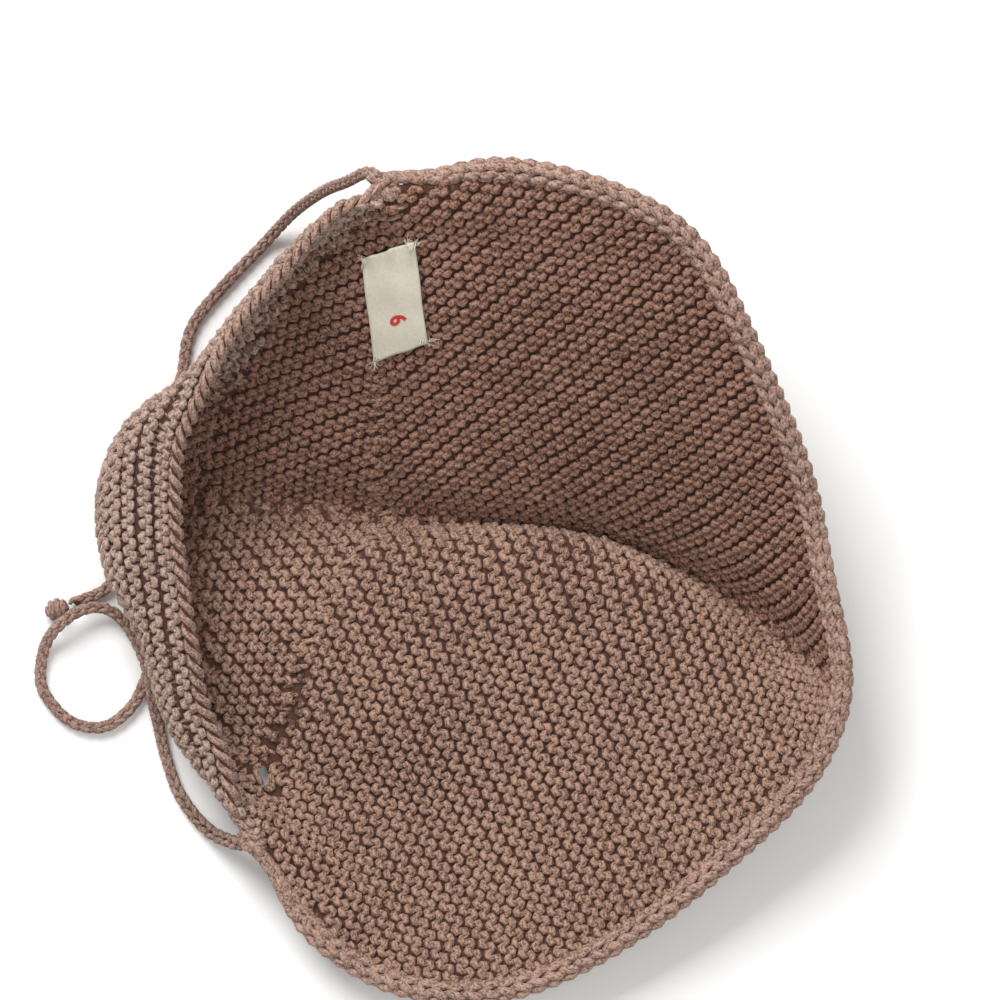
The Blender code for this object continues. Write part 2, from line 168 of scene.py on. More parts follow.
# The place on the floor that the middle of the frame shows
PHOTO_MIDDLE = (0.00579, 0.01970, 0.0)
CAMERA_HEIGHT = 2.0
FRAME_WIDTH = 0.23
SENSOR = 36
ROOM_GLOW = 0.45

camera = bpy.data.cameras.new("camera")
camera.sensor_width = SENSOR
camera.lens = SENSOR * CAMERA_HEIGHT / FRAME_WIDTH
camera_object = bpy.data.objects.new("camera", camera)
camera_object.location = (PHOTO_MIDDLE[0], PHOTO_MIDDLE[1], CAMERA_HEIGHT)
bpy.context.scene.collection.objects.link(camera_object)
bpy.context.scene.camera = camera_object

LIGHTS = (
    # name, place, size, watts
    ("window", (-0.45, 0.90, 1.05), 0.7, 21.0),
    ("room", (0.45, -0.30, 1.50), 1.3, 7.5),
)
for name, place, size, watts in LIGHTS:
    lamp = bpy.data.lights.new(name, "AREA")
    lamp.energy, lamp.size = watts, size
    lamp_object = bpy.data.objects.new(name, lamp)
    lamp_object.location = place
    lamp_object.rotation_euler = (Vector((0, 0, 0)) - Vector(place)).to_track_quat("-Z", "Y").to_euler()
    bpy.context.scene.collection.objects.link(lamp_object)

world = bpy.data.worlds.new("soft room")
world.use_nodes = True
world.node_tree.nodes["Background"].inputs["Color"].default_value = (1.0, 0.985, 0.97, 1)
world.node_tree.nodes["Background"].inputs["Strength"].default_value = ROOM_GLOW
bpy.context.scene.world = world
bpy.context.scene.view_settings.view_transform = "Standard"


# The two ties
#
# Each is a soft round cord knitted from the bonnet's own yarn, three stitches round, which grows out of a chin
# corner and lies loosely on the surface. A tight blunt knot of the same yarn ends it.

TIE_DIAMETER = 0.0030
TIE_COLUMNS = 2
TIE_PITCH = 0.0027
TIE_YARN = 0.00060
KNOT_LENGTH = 0.0058
KNOT_WIDTH = 0.0054
KNOT_HEIGHT = 0.0042
KNOT_YARN = TIE_YARN * 1.25
KNOT_TURNS = 4.2
KNOT_GAP = 0.0003
CORE_SHARE = 0.28
LINE_STEP = 0.0012
# How much each tie is thicker where it leaves the bonnet, and over what length
ROOT_SWELL = 0.0013
ROOT_LENGTH = 0.0055
LOWER_SWELL = 0.0004
LOWER_SWELL_LENGTH = 0.018
YARN_SIDES = 6

# The points that each cord passes through, in metres, from its corner to its knot
UPPER_TIE_POINTS = [
    (-0.0182, 0.0917, 0.0573), (-0.0196, 0.0916, 0.0570), (-0.0211, 0.0914, 0.0567), (-0.0229, 0.0926, 0.0535),
    (-0.0275, 0.0919, 0.0445), (-0.0323, 0.0905, 0.0325), (-0.0379, 0.0879, 0.0185), (-0.0438, 0.0834, 0.0065),
    (-0.0489, 0.0781, 0.0015), (-0.0549, 0.0720, 0.0015), (-0.0600, 0.0664, 0.0015), (-0.0639, 0.0615, 0.0015),
    (-0.0662, 0.0560, 0.0015), (-0.0669, 0.0505, 0.0015), (-0.0685, 0.0450, 0.0015), (-0.0724, 0.0398, 0.0015),
    (-0.0770, 0.0349, 0.0015), (-0.0807, 0.0288, 0.0015), (-0.0824, 0.0225, 0.0015), (-0.0831, 0.0160, 0.0015),
    (-0.0830, 0.0093, 0.0015), (-0.0824, 0.0044, 0.0015), (-0.0838, 0.0003, 0.0015), (-0.0867, -0.0019, 0.0015),
    (-0.0898, -0.0031, 0.0015), (-0.0930, -0.0043, 0.0015),
]
LOWER_TIE_POINTS = [
    (-0.0499, -0.0605, 0.0140), (-0.0506, -0.0592, 0.0142), (-0.0514, -0.0580, 0.0144), (-0.0536, -0.0588, 0.0100),
    (-0.0566, -0.0583, 0.0065), (-0.0598, -0.0571, 0.0030), (-0.0630, -0.0545, 0.0015), (-0.0657, -0.0512, 0.0015),
    (-0.0683, -0.0470, 0.0015), (-0.0702, -0.0419, 0.0015), (-0.0717, -0.0368, 0.0015), (-0.0727, -0.0319, 0.0021),
    (-0.0740, -0.0261, 0.0039), (-0.0747, -0.0208, 0.0049), (-0.0764, -0.0157, 0.0039), (-0.0787, -0.0110, 0.0027),
    (-0.0823, -0.0066, 0.0029), (-0.0865, -0.0049, 0.0043), (-0.0913, -0.0061, 0.0054), (-0.0953, -0.0090, 0.0052),
    (-0.0983, -0.0129, 0.0030), (-0.0997, -0.0181, 0.0017), (-0.0996, -0.0230, 0.0015), (-0.0971, -0.0273, 0.0015),
    (-0.0937, -0.0307, 0.0015), (-0.0891, -0.0325, 0.0015), (-0.0847, -0.0323, 0.0015), (-0.0807, -0.0297, 0.0015),
    (-0.0778, -0.0263, 0.0015), (-0.0762, -0.0228, 0.0015), (-0.0747, -0.0194, 0.0015), (-0.0731, -0.0161, 0.0015),
    (-0.0717, -0.0129, 0.0015),
]


def unit(vectors):
    return vectors / np.maximum(np.linalg.norm(vectors, axis=-1, keepdims=True), 1e-12)


def along(points):
    """The distance along a line of points, from its start to each point."""
    return np.concatenate([[0], np.cumsum(np.linalg.norm(np.diff(points, axis=0), axis=1))])


def spline(knots, values, at):
    """The natural cubic spline through values at the knots, read at other places."""
    knots, values, at = np.asarray(knots), np.asarray(values), np.asarray(at)
    gap = np.diff(knots)
    count = len(knots)
    system = np.eye(count)
    bend = np.zeros((count, values.shape[1]))
    for i in range(1, count - 1):
        system[i, i - 1:i + 2] = gap[i - 1], 2 * (gap[i - 1] + gap[i]), gap[i]
        bend[i] = 6 * ((values[i + 1] - values[i]) / gap[i] - (values[i] - values[i - 1]) / gap[i - 1])
    curve = np.linalg.solve(system, bend)
    i = np.clip(np.searchsorted(knots, at) - 1, 0, count - 2)
    before = ((at - knots[i]) / gap[i])[:, None]
    after = 1 - before
    square = (gap[i] ** 2 / 6)[:, None]
    straight = after * values[i] + before * values[i + 1]
    return straight + square * ((after ** 3 - after) * curve[i] + (before ** 3 - before) * curve[i + 1])


def read_along(at, knots, values):
    """The rows of values that lie at these distances along a line, between the knots' own."""
    return np.stack([np.interp(at, knots, values[:, k]) for k in range(values.shape[1])], 1)


def even_line(points, step):
    """The smooth line through the points, in even steps."""
    at = along(points)
    dense = spline(at, points, np.linspace(0, at[-1], 40 * len(points)))
    length = along(dense)
    even = np.linspace(0, length[-1], max(2, round(length[-1] / step)) + 1)
    return read_along(even, length, dense)


def yarn_mesh(runs):
    """Round yarn along each run of points. A run is its points, the way that its rings' tops face, its radius at
    each, and how far each stands out of the cloth, from 0 to 1, which the wool turns into painted light where it
    stands out and painted shade where it sinks in. Both ends are closed. The second value of each corner's UV runs
    round the yarn, the first along it."""
    turn = 2 * np.pi * np.arange(YARN_SIDES) / YARN_SIDES
    points, quads, ends, uvs, crown_painted_shades, count = [], [], [], [], [], 0
    for middle, faces, radius, crown_painted_shade in runs:
        ahead = unit(np.gradient(middle, axis=0))
        side = unit(np.cross(ahead, faces))
        top = np.cross(side, ahead)
        ring = np.cos(turn)[None, :, None] * side[:, None] + np.sin(turn)[None, :, None] * top[:, None]
        ring = middle[:, None] + ring * np.broadcast_to(radius, len(middle))[:, None, None]
        ring[..., 2] = np.maximum(ring[..., 2], 0)
        number = count + np.arange(len(middle) * YARN_SIDES).reshape(-1, YARN_SIDES)
        after = np.roll(number, -1, axis=1)
        quads.append(np.stack([number[:-1], number[1:], after[1:], after[:-1]], -1).reshape(-1, 4))
        ends += [number[0], number[-1][::-1]]
        length = along(middle)
        low = np.repeat(length[:-1], YARN_SIDES)
        high = np.repeat(length[1:], YARN_SIDES)
        round_it = np.tile(np.arange(YARN_SIDES), len(middle) - 1) / YARN_SIDES
        next_round = round_it + 1 / YARN_SIDES
        uvs.append(np.stack([low, round_it, high, round_it, high, next_round, low, next_round], -1).reshape(-1, 2))
        points.append(ring.reshape(-1, 3))
        crown_painted_shades.append(np.repeat(np.broadcast_to(crown_painted_shade, len(middle)), YARN_SIDES))
        count += len(middle) * YARN_SIDES
    return np.concatenate(points), np.concatenate(quads), ends, np.concatenate(uvs), np.concatenate(crown_painted_shades)


def knitted_piece(name, runs, surface, core=()):
    """One mesh of all the runs of yarn. Runs of the core come with their own, darker material: painted shade for the
    shadow inside the cord.
    """
    parts = [yarn_mesh(runs)]
    if core:
        parts.append(yarn_mesh(core[0]))
    points = np.concatenate([part[0] for part in parts])
    offset, corners, totals, uvs, finish = 0, [], [], [], []
    for number, (spots, quads, ends, uv, _) in enumerate(parts):
        caps = np.array(ends)
        corners += [quads.ravel() + offset, caps.ravel() + offset]
        totals += [np.full(len(quads), 4), np.full(len(caps), YARN_SIDES)]
        uvs += [uv, np.zeros((caps.size, 2))]
        finish.append(np.full(len(quads) + len(caps), number))
        offset += len(spots)
    corners, totals = np.concatenate(corners), np.concatenate(totals)
    mesh = bpy.data.meshes.new(name)
    mesh.vertices.add(len(points))
    mesh.vertices.foreach_set("co", points.astype(np.float32).ravel())
    mesh.loops.add(len(corners))
    mesh.loops.foreach_set("vertex_index", corners.astype(np.int32))
    mesh.polygons.add(len(totals))
    starts = np.concatenate([[0], np.cumsum(totals)[:-1]])
    mesh.polygons.foreach_set("loop_start", starts.astype(np.int32))
    mesh.polygons.foreach_set("material_index", np.concatenate(finish).astype(np.int32))
    mesh.polygons.foreach_set("use_smooth", np.ones(len(totals), bool))
    crown_painted_shade = mesh.attributes.new("crown_painted_shade", "FLOAT", "POINT")
    crown_painted_shade.data.foreach_set("value", np.concatenate([part[4] for part in parts]).astype(np.float32))
    layer = mesh.uv_layers.new(name="yarn")
    layer.data.foreach_set("uv", np.concatenate(uvs).astype(np.float32).ravel())
    mesh.update(calc_edges=True)
    mesh.validate()
    mesh.materials.append(surface)
    if core:
        mesh.materials.append(core[1])
    piece = bpy.data.objects.new(name, mesh)
    bpy.context.scene.collection.objects.link(piece)
    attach(piece, "root")
    return piece


def wool(name, light, dark, ply=0.0022, strength=0.9):
    """Heathered three-ply wool. Its plies wind round the yarn, and pale and dark fibres lie along them. Yarn
    that stands out of the cloth is painted lighter and yarn that sinks into it darker, as painted light and shade.
    """
    made, shader, start = new_material(name, 0.94, sheen=0.14, sheen_tint=(1.0, 0.88, 0.80))
    parts = start.node("ShaderNodeSeparateXYZ", "X", Vector=start.node("ShaderNodeUVMap", "UV", {"uv_map": "yarn"}))
    split = parts.socket.node
    lengthwise, round_it = parts, Value(start.tree, split.outputs["Y"])
    plies = ((lengthwise * (2 * math.pi / ply) + round_it * (6 * math.pi)).sine() * 0.5 + 0.5).power(0.6)
    place = start.node("ShaderNodeTexCoord", "Object")
    strands = start.node("ShaderNodeCombineXYZ", "Vector", X=lengthwise * 700.0,
                         Y=round_it * 10.0 + lengthwise * 1300.0)
    fibres = noise(start, strands, 1.0, 3.0, 0.7)
    heather = noise(start, place, 1700.0, 3.0, 0.75)
    broad = noise(start, place, 60.0, 3.0, 0.6)
    crown_painted_shade = start.node("ShaderNodeAttribute", "Fac", {"attribute_name": "crown_painted_shade"})
    # Painted light and shade: yarn standing out of the cloth is lighter, yarn sinking into it darker
    share = (heather - 0.5) * 4.2 + (fibres - 0.5) * 2.4 + (broad - 0.5) * 0.8 + plies * 0.25 + crown_painted_shade * 0.55
    colour = blend(start, share.between(0.0, 1.0), dark, light)
    finish_surface(shader, start, colour, plies * 0.5 + fibres * 0.8 + heather * 0.25, strength, 0.00028)
    return made


def knitted_roll(line, tops, half_widths, half_heights, columns, pitch, yarn, tight=0.22):
    """The one yarn of a round knitted cord: its stitches climb round the line, columns of them to a round."""
    length = along(line)
    count = int(length[-1] / pitch * columns)
    turn = np.linspace(0, 2 * np.pi * count, count * 12 + 1)
    angle = (turn + 2 * np.pi * tight * np.sin(2 * turn)) / columns + np.pi / 2
    at = turn / (2 * np.pi) / count * (length[-1] - 1.2 * pitch) + 0.6 * pitch
    at = at + 0.62 * pitch * np.cos(turn)
    depth = 1 - 0.23 * (1 + np.cos(2 * turn))
    ahead = unit(np.gradient(line, axis=0))
    side = unit(np.cross(ahead, tops))
    top = np.cross(side, ahead)

    wide = read_along(at, length, (half_widths - yarn)[:, None]) * depth[:, None]
    high = read_along(at, length, (half_heights - yarn)[:, None]) * depth[:, None]
    spot, sideways, upright = [read_along(at, length, values) for values in (line, side, top)]
    out = sideways * wide * np.cos(angle)[:, None] + upright * high * np.sin(angle)[:, None]
    leg = np.abs(np.sin(turn))
    return spot + out, unit(out), yarn * (0.78 + 0.40 * leg), leg


def wound_yarn(middle, axes, size, turns, yarn):
    """Yarn wound into a small egg round its own length. axes are its three ways, size the halves along them."""
    wind = np.linspace(0, 1, 200)
    polar = np.pi * (0.04 + 0.92 * wind)
    spin = 2 * np.pi * turns * wind
    shape = np.stack([np.cos(polar), np.sin(polar) * np.cos(spin), np.sin(polar) * np.sin(spin)], 1)
    return middle + (shape * size) @ axes, unit(shape / size) @ axes, yarn, 0.8


def laid_rope(line, tops, half_widths, half_heights, lay, yarn):
    """Two strands that wind round each other along a line, each turn of one strand as long as lay."""
    length = along(line)
    at = np.linspace(0, length[-1], int(length[-1] / lay * 16))
    ahead = unit(np.gradient(line, axis=0))
    side = unit(np.cross(ahead, tops))
    top = np.cross(side, ahead)
    wide, high = [read_along(at, length, (halves - yarn)[:, None]) for halves in (half_widths, half_heights)]
    spot, sideways, upright = [read_along(at, length, values) for values in (line, side, top)]
    runs = []
    for strand in (0, 1):
        spin = (2 * np.pi * at / lay + np.pi * strand)[:, None]
        out = sideways * wide * np.cos(spin) + upright * high * np.sin(spin)
        swell = yarn * (0.92 + 0.10 * np.sin(spin[:, 0]))
        runs.append((spot + out, unit(out + upright * 1e-6), swell, 0.75))
    return runs


yarn_wool = wool("heathered wool yarn", (0.440, 0.276, 0.205), (0.110, 0.054, 0.039))
# A darker copy of the same yarn, painted shade for the upper halves and the heel
painted_shade_wool = wool("heathered wool with painted shade", (0.362, 0.198, 0.142), (0.086, 0.037, 0.026))
# A lighter, greyer copy of the same yarn, painted light for the outside of the band
painted_light_wool = wool("heathered wool with painted light", (0.490, 0.350, 0.288), (0.155, 0.095, 0.075))
tie_wool = wool("heathered wool tie", (0.40, 0.265, 0.215), (0.130, 0.070, 0.055), ply=0.0018)
# The dark wool of painted shade, for the sheet in the middle of the wall and the cores of the cords
shade_wool, shader, start = new_material("wool in shade", 0.95)
fuzz = noise(start, start.node("ShaderNodeTexCoord", "Object"), 1400.0, 3.0)
finish_surface(shader, start, blend(start, fuzz, (0.045, 0.020, 0.014), (0.118, 0.056, 0.041)), fuzz, 0.6, 0.0003)

for name, points in (("upper_tie", UPPER_TIE_POINTS), ("lower_tie", LOWER_TIE_POINTS)):
    line = even_line(np.array(points), LINE_STEP)
    line[:, 2] = np.maximum(line[:, 2], TIE_DIAMETER / 2)
    upright = np.tile((0.02, 0.03, 1.0), (len(line), 1))
    gone = along(line)
    half = TIE_DIAMETER / 2 + ROOT_SWELL * np.exp(-(gone / ROOT_LENGTH) ** 2)
    if name == "lower_tie":
        half += LOWER_SWELL * np.clip(2 - gone / LOWER_SWELL_LENGTH, 0, 1)
    runs = [knitted_roll(line, upright, half, half, TIE_COLUMNS, TIE_PITCH, TIE_YARN)]
    # A dark core of painted shade runs inside the cord, where the shadow between its stitches lies
    core = [(line[2:-1], upright[2:-1], TIE_DIAMETER * CORE_SHARE, 0)]
    tie = knitted_piece(name + "_cord", runs, tie_wool, (core, shade_wool))
    heading = unit((line[-1] - line[-2]) * (1, 1, 0))
    across = np.array([-heading[1], heading[0], 0])
    middle = line[-1] + heading * (KNOT_GAP + KNOT_LENGTH / 2)
    middle[2] = KNOT_HEIGHT / 2
    size = np.array([KNOT_LENGTH, KNOT_WIDTH, KNOT_HEIGHT]) / 2 - KNOT_YARN
    knot_runs = [wound_yarn(middle, np.stack([heading, across, (0, 0, 1)]), size, KNOT_TURNS, KNOT_YARN)]
    core = [(middle + np.outer(np.linspace(-0.8, 0.8, 7), heading) * size[0], np.tile((0, 0, 1.0), (7, 1)),
             size[2] * 0.8, 0)]
    knot = knitted_piece(name + "_end_knot", knot_runs, tie_wool, (core, shade_wool))
    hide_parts(name)
    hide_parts(name + "_knot")


# The knitted walls
#
# One piece of garter-stitch wool, seamed from chin to chin, so that it has a shallow back and a deep front. A thin
# closed sheet along the middle of the wall is coloured as painted shade, dark for the shadow deep between the
# stitches; the stitches themselves stand on both sides.

BONNET_WIDTH = 0.1766
BONNET_LENGTH = 0.1970
BONNET_HEIGHT = 0.0670
BACK_BULGE = 0.0154
FOLD_SHIFT = 0.0300
WALL = 0.0034
HEART = 0.0007
EYELET_WIDTH = 0.0056
EYELET_LENGTH = 0.0066
EYELET_PLACE = -0.70
SEAM_SLACK = 0.0008
EYELET_BINDING = 0.0022
CLOTH_END = 0.998
MIDDLE = (-0.00234, -0.00084)
LONG_STEPS = 180
BAND_STEPS = 30
POCKET_STEPS = 50
FRONT_STEPS = 100
HEEL_POINT = 4
SEAM_POINT = 5

# The cloth runs from corner to corner in sections. Each row is one section, at a share of the way from the middle
# fold, 0, to the lower corner, -1, or the upper corner, 1. x, y and z are shares of the bonnet's width, length and
# height, bulge is a share of BACK_BULGE, shift a share of FOLD_SHIFT, and seam a share of the section's own length.
SECTION_COLUMNS = "place neck_x neck_y neck_z face_x face_y face_z heel_z mid_z brow_z bulge shift seam".split()
SECTIONS = np.array([
    (-1.000, -0.301, -0.289, 0.180, -0.288, -0.308, 0.178, 0.178, 0.177, 0.178, 0.00, 0.00, 0.500),
    (-0.875, -0.333, -0.243, 0.231, -0.216, -0.394, 0.134, 0.150, 0.090, 0.104, 0.03, 0.25, 0.300),
    (-0.750, -0.350, -0.193, 0.276, -0.115, -0.453, 0.104, 0.060, 0.030, 0.060, 0.31, 0.22, 0.220),
    (-0.625, -0.371, -0.144, 0.313, 0.007, -0.464, 0.112, 0.045, -0.020, 0.040, 0.43, 0.32, 0.210),
    (-0.500, -0.382, -0.096, 0.343, 0.123, -0.427, 0.142, 0.070, 0.050, 0.070, 0.51, 0.51, 0.210),
    (-0.375, -0.391, -0.045, 0.373, 0.228, -0.366, 0.187, 0.080, 0.125, 0.120, 0.62, 0.71, 0.220),
    (-0.250, -0.398, 0.006, 0.396, 0.321, -0.295, 0.239, 0.075, 0.179, 0.175, 0.88, 0.84, 0.235),
    (-0.125, -0.405, 0.056, 0.418, 0.406, -0.216, 0.291, 0.045, 0.179, 0.179, 0.99, 1.00, 0.270),
    (0.000, -0.406, 0.107, 0.448, 0.452, -0.115, 0.343, -0.030, -0.012, 0.050, 0.99, 0.52, 0.310),
    (0.125, -0.400, 0.162, 0.493, 0.430, -0.008, 0.418, 0.097, 0.142, 0.216, 0.70, 0.20, 0.305),
    (0.250, -0.373, 0.212, 0.552, 0.402, 0.099, 0.530, 0.209, 0.313, 0.418, 0.27, 0.02, 0.300),
    (0.375, -0.343, 0.262, 0.619, 0.358, 0.202, 0.672, 0.336, 0.478, 0.604, 0.06, -0.04, 0.290),
    (0.500, -0.308, 0.307, 0.694, 0.306, 0.299, 0.821, 0.463, 0.627, 0.761, 0.03, -0.08, 0.285),
    (0.625, -0.268, 0.347, 0.761, 0.242, 0.388, 0.918, 0.575, 0.731, 0.858, 0.03, -0.15, 0.290),
    (0.750, -0.227, 0.388, 0.813, 0.136, 0.438, 0.955, 0.672, 0.806, 0.910, 0.03, -0.14, 0.300),
    (0.875, -0.181, 0.424, 0.851, 0.018, 0.458, 0.933, 0.810, 0.851, 0.910, 0.00, -0.15, 0.330),
    (1.000, -0.121, 0.441, 0.860, -0.113, 0.453, 0.866, 0.859, 0.862, 0.866, 0.00, 0.00, 0.500),
])

# The back wall under the neck rim: how far out and how high, as shares. Then where along a section its heel, middle
# and brow lie, and how the sections lean towards the corners.
BACK_WALL = ((0.55, 0.95), (1.00, 0.52), (0.62, 0.09))
HEEL, MID, BROW = 0.05, 0.62, 0.88
LEAN_START, LEAN, FOLD_LEAN = 0.70, 0.20, 1.6


def section_controls(row, outwards):
    """The points that one section passes through, from the neck rim to the face edge."""
    neck = np.array([row["neck_x"] * BONNET_WIDTH, row["neck_y"] * BONNET_LENGTH])
    face = np.array([row["face_x"] * BONNET_WIDTH, row["face_y"] * BONNET_LENGTH])
    chord = face - neck
    sideways = np.array([-chord[1], chord[0]]) / np.linalg.norm(chord)

    def on_floor_plan(share):
        bow = np.sin(np.pi * share ** FOLD_LEAN)
        return neck + chord * share + sideways * row["shift"] * FOLD_SHIFT * bow

    heel_z, mid_z, seam = row["heel_z"], row["mid_z"], row["seam"]
    lean = LEAN * max(0, (abs(row["place"]) - LEAN_START) / (1 - LEAN_START))
    heel = HEEL + lean
    reach = (seam - heel) / (MID - heel)
    points = [(*neck, row["neck_z"])]
    for out, up in BACK_WALL:
        spot = neck + outwards * out * row["bulge"] * BACK_BULGE + chord * lean * (1 - up)
        points.append((*spot, heel_z + up * (row["neck_z"] - heel_z)))
    points.append((*on_floor_plan(heel), heel_z))
    points.append((*on_floor_plan(seam), heel_z + reach * (mid_z - heel_z)))
    points.append((*on_floor_plan(MID), mid_z))
    points.append((*on_floor_plan(BROW), row["brow_z"]))
    points.append((*face, row["face_z"]))
    return np.array(points)


def eyelet(place, around=0.0):
    """How wide the eyelet, or a ring as wide as around about it, is at this place, from 0 to 1."""
    half = (EYELET_LENGTH + 2 * around) / BONNET_LENGTH
    return max(0.0, 1 - ((place - EYELET_PLACE) / half) ** 2) ** 0.5


def seam_slack(place):
    """How far the stitches stand back from the seam, which gapes towards the eyelet at its lower end."""
    share = np.clip((-place - 0.36) / 0.16, 0, 1) * np.clip((0.80 + place) / 0.08, 0, 1)
    return max(SEAM_SLACK * share, (EYELET_WIDTH / 2 + EYELET_BINDING) * eyelet(place, EYELET_BINDING))


def cloth_grids(places, steps, slack=None):
    """The middle of the wall as three grids of points: the band from the neck rim to the heel, the pocket from
    there to the seam, and the front from the seam to the face edge."""
    table = spline(SECTIONS[:, 0], SECTIONS, places)
    rows = [dict(zip(SECTION_COLUMNS, line)) for line in table]
    neck = np.array([(r["neck_x"] * BONNET_WIDTH, r["neck_y"] * BONNET_LENGTH) for r in rows])
    run = np.gradient(neck, places, axis=0)
    outwards = unit(np.stack([-run[:, 1], run[:, 0]], 1))
    grids = [[], [], []]
    for place, row, out in zip(places, rows, outwards):
        controls = section_controls(row, out)
        knots = along(controls * (1, 1, BONNET_HEIGHT))
        dense_at = np.linspace(0, knots[-1], 400)
        dense = spline(knots, controls, dense_at)
        dense[:, 2] = np.maximum(WALL / 2 + dense[:, 2] * (BONNET_HEIGHT - WALL), WALL / 2)
        dense[:, :2] -= MIDDLE
        length = along(dense)
        heel, seam = np.interp(knots[[HEEL_POINT, SEAM_POINT]], dense_at, length)
        half_hole = max(EYELET_WIDTH / 2 * eyelet(place), slack(place) if slack else 0)
        ends = ((0, heel), (heel, seam - half_hole), (seam + half_hole, length[-1]))
        for grid, (first, last), count in zip(grids, ends, steps):
            at = np.linspace(first, last, count + 1)
            grid.append(read_along(at, length, dense))
    return [np.array(grid) for grid in grids]


def smoothed(values, times, axes=(0, 1)):
    """The grid of values, each evened out with its neighbours."""
    for _ in range(times):
        for axis in axes:
            padded = np.pad(values, [(1, 1) if k == axis else (0, 0) for k in range(values.ndim)], mode="edge")
            before = np.take(padded, range(0, padded.shape[axis] - 2), axis)
            after = np.take(padded, range(2, padded.shape[axis]), axis)
            values = (before + 2 * values + after) / 4
    return values


even = np.linspace(-1, 1, LONG_STEPS + 1)
places = CLOTH_END * np.sign(even) * (0.75 * np.abs(even) + 0.25 * even ** 2)
band, pocket, front = cloth_grids(places, (BAND_STEPS, POCKET_STEPS, FRONT_STEPS))
joined = np.concatenate([band[:, :-1], pocket, front], axis=1)
inwards = unit(smoothed(unit(np.cross(np.gradient(joined, axis=1), np.gradient(joined, axis=0))), 10))
_, knit_pocket, knit_front = cloth_grids(places, (BAND_STEPS, POCKET_STEPS, FRONT_STEPS), seam_slack)
band_facing = inwards[:, :BAND_STEPS + 1]
pocket_facing = inwards[:, BAND_STEPS:BAND_STEPS + POCKET_STEPS + 1]
front_facing = inwards[:, BAND_STEPS + POCKET_STEPS + 1:]
FOLD_ROW = LONG_STEPS // 2


def sheet_between(form, grid, facing, thickness):
    """A thin closed sheet along a grid of points."""
    skins = []
    for away in (0.5, -0.5):
        spots = grid + facing * away * thickness
        spots[..., 2] = np.maximum(spots[..., 2], 0.0001)
        skins.append([[form.verts.new(spot) for spot in line] for line in spots])
    inner, outer = skins
    long, wide = len(grid) - 1, len(grid[0]) - 1
    for i in range(long):
        for j in range(wide):
            form.faces.new((inner[i][j], inner[i][j + 1], inner[i + 1][j + 1], inner[i + 1][j]))
            form.faces.new((outer[i][j], outer[i + 1][j], outer[i + 1][j + 1], outer[i][j + 1]))
        for j in (0, wide):
            form.faces.new((inner[i][j], inner[i + 1][j], outer[i + 1][j], outer[i][j]))
    for j in range(wide):
        for i in (0, long):
            form.faces.new((inner[i][j], inner[i][j + 1], outer[i][j + 1], outer[i][j]))


# The sheet along the middle of the wall is painted shade: the dark seen between the stitches
form = bmesh.new()
sheet_between(form, joined[:, :BAND_STEPS + POCKET_STEPS + 1], inwards[:, :BAND_STEPS + POCKET_STEPS + 1], HEART)
sheet_between(form, front, front_facing, HEART)
bmesh.ops.recalc_face_normals(form, faces=form.faces)
mesh = bpy.data.meshes.new("painted_shade_sheet")
form.to_mesh(mesh)
form.free()
mesh.shade_smooth()
mesh.materials.append(shade_wool)
shade_sheet = bpy.data.objects.new("painted_shade_sheet", mesh)
bpy.context.scene.collection.objects.link(shade_sheet)
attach(shade_sheet, "root")
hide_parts("front_panel", "back_panel")


# The garter stitches
#
# Every course of the knitting is one yarn, looped through the course before it. Knit and purl courses turn about, so
# their heads and feet stand up by turns as ridges. At the middle fold the courses turn back like the ribs of a leaf.

STITCH = 0.0031
COURSE = 0.00187
LOOP_HEIGHT = 0.00192
LOOP_WANDER = 0.00055
LOOP_DEPTH = 0.00105
YARN_AT_LEG = 0.00052
YARN_AT_CROWN = 0.00095
STITCH_POINTS = 10
UNEVEN = 0.00013
UNDER_FACE_EDGING = 0.0016
UNDER_NECK_EDGING = 0.0003
INSIDE_FACING = 0.6

# The way that the ridges run on each part of the cloth, in degrees anticlockwise from +X, seen from above
RIDGES = {"front_upper": 40, "front_lower": -59, "pocket_upper": 22, "pocket_lower": -50}
hand = np.random.default_rng(7)


def slope(points, values):
    """The way along the cloth in which values rise, and how fast."""
    down, right = np.gradient(points, axis=0), np.gradient(points, axis=1)
    fall, turn = np.gradient(values, axis=0)[..., None], np.gradient(values, axis=1)[..., None]
    long, mixed, wide = [(a * b).sum(-1, keepdims=True) for a, b in ((down, down), (down, right), (right, right))]
    area = np.maximum(long * wide - mixed ** 2, 1e-16)
    return ((wide * fall - mixed * turn) * down + (long * turn - mixed * fall) * right) / area


def edge_rises(points, wanted):
    """How much values should rise between neighbours, down and across the grid."""
    return [(np.diff(points, axis=k) * (np.take(wanted, range(1, wanted.shape[k]), k)
                                        + np.take(wanted, range(wanted.shape[k] - 1), k)) / 2).sum(-1) for k in (0, 1)]


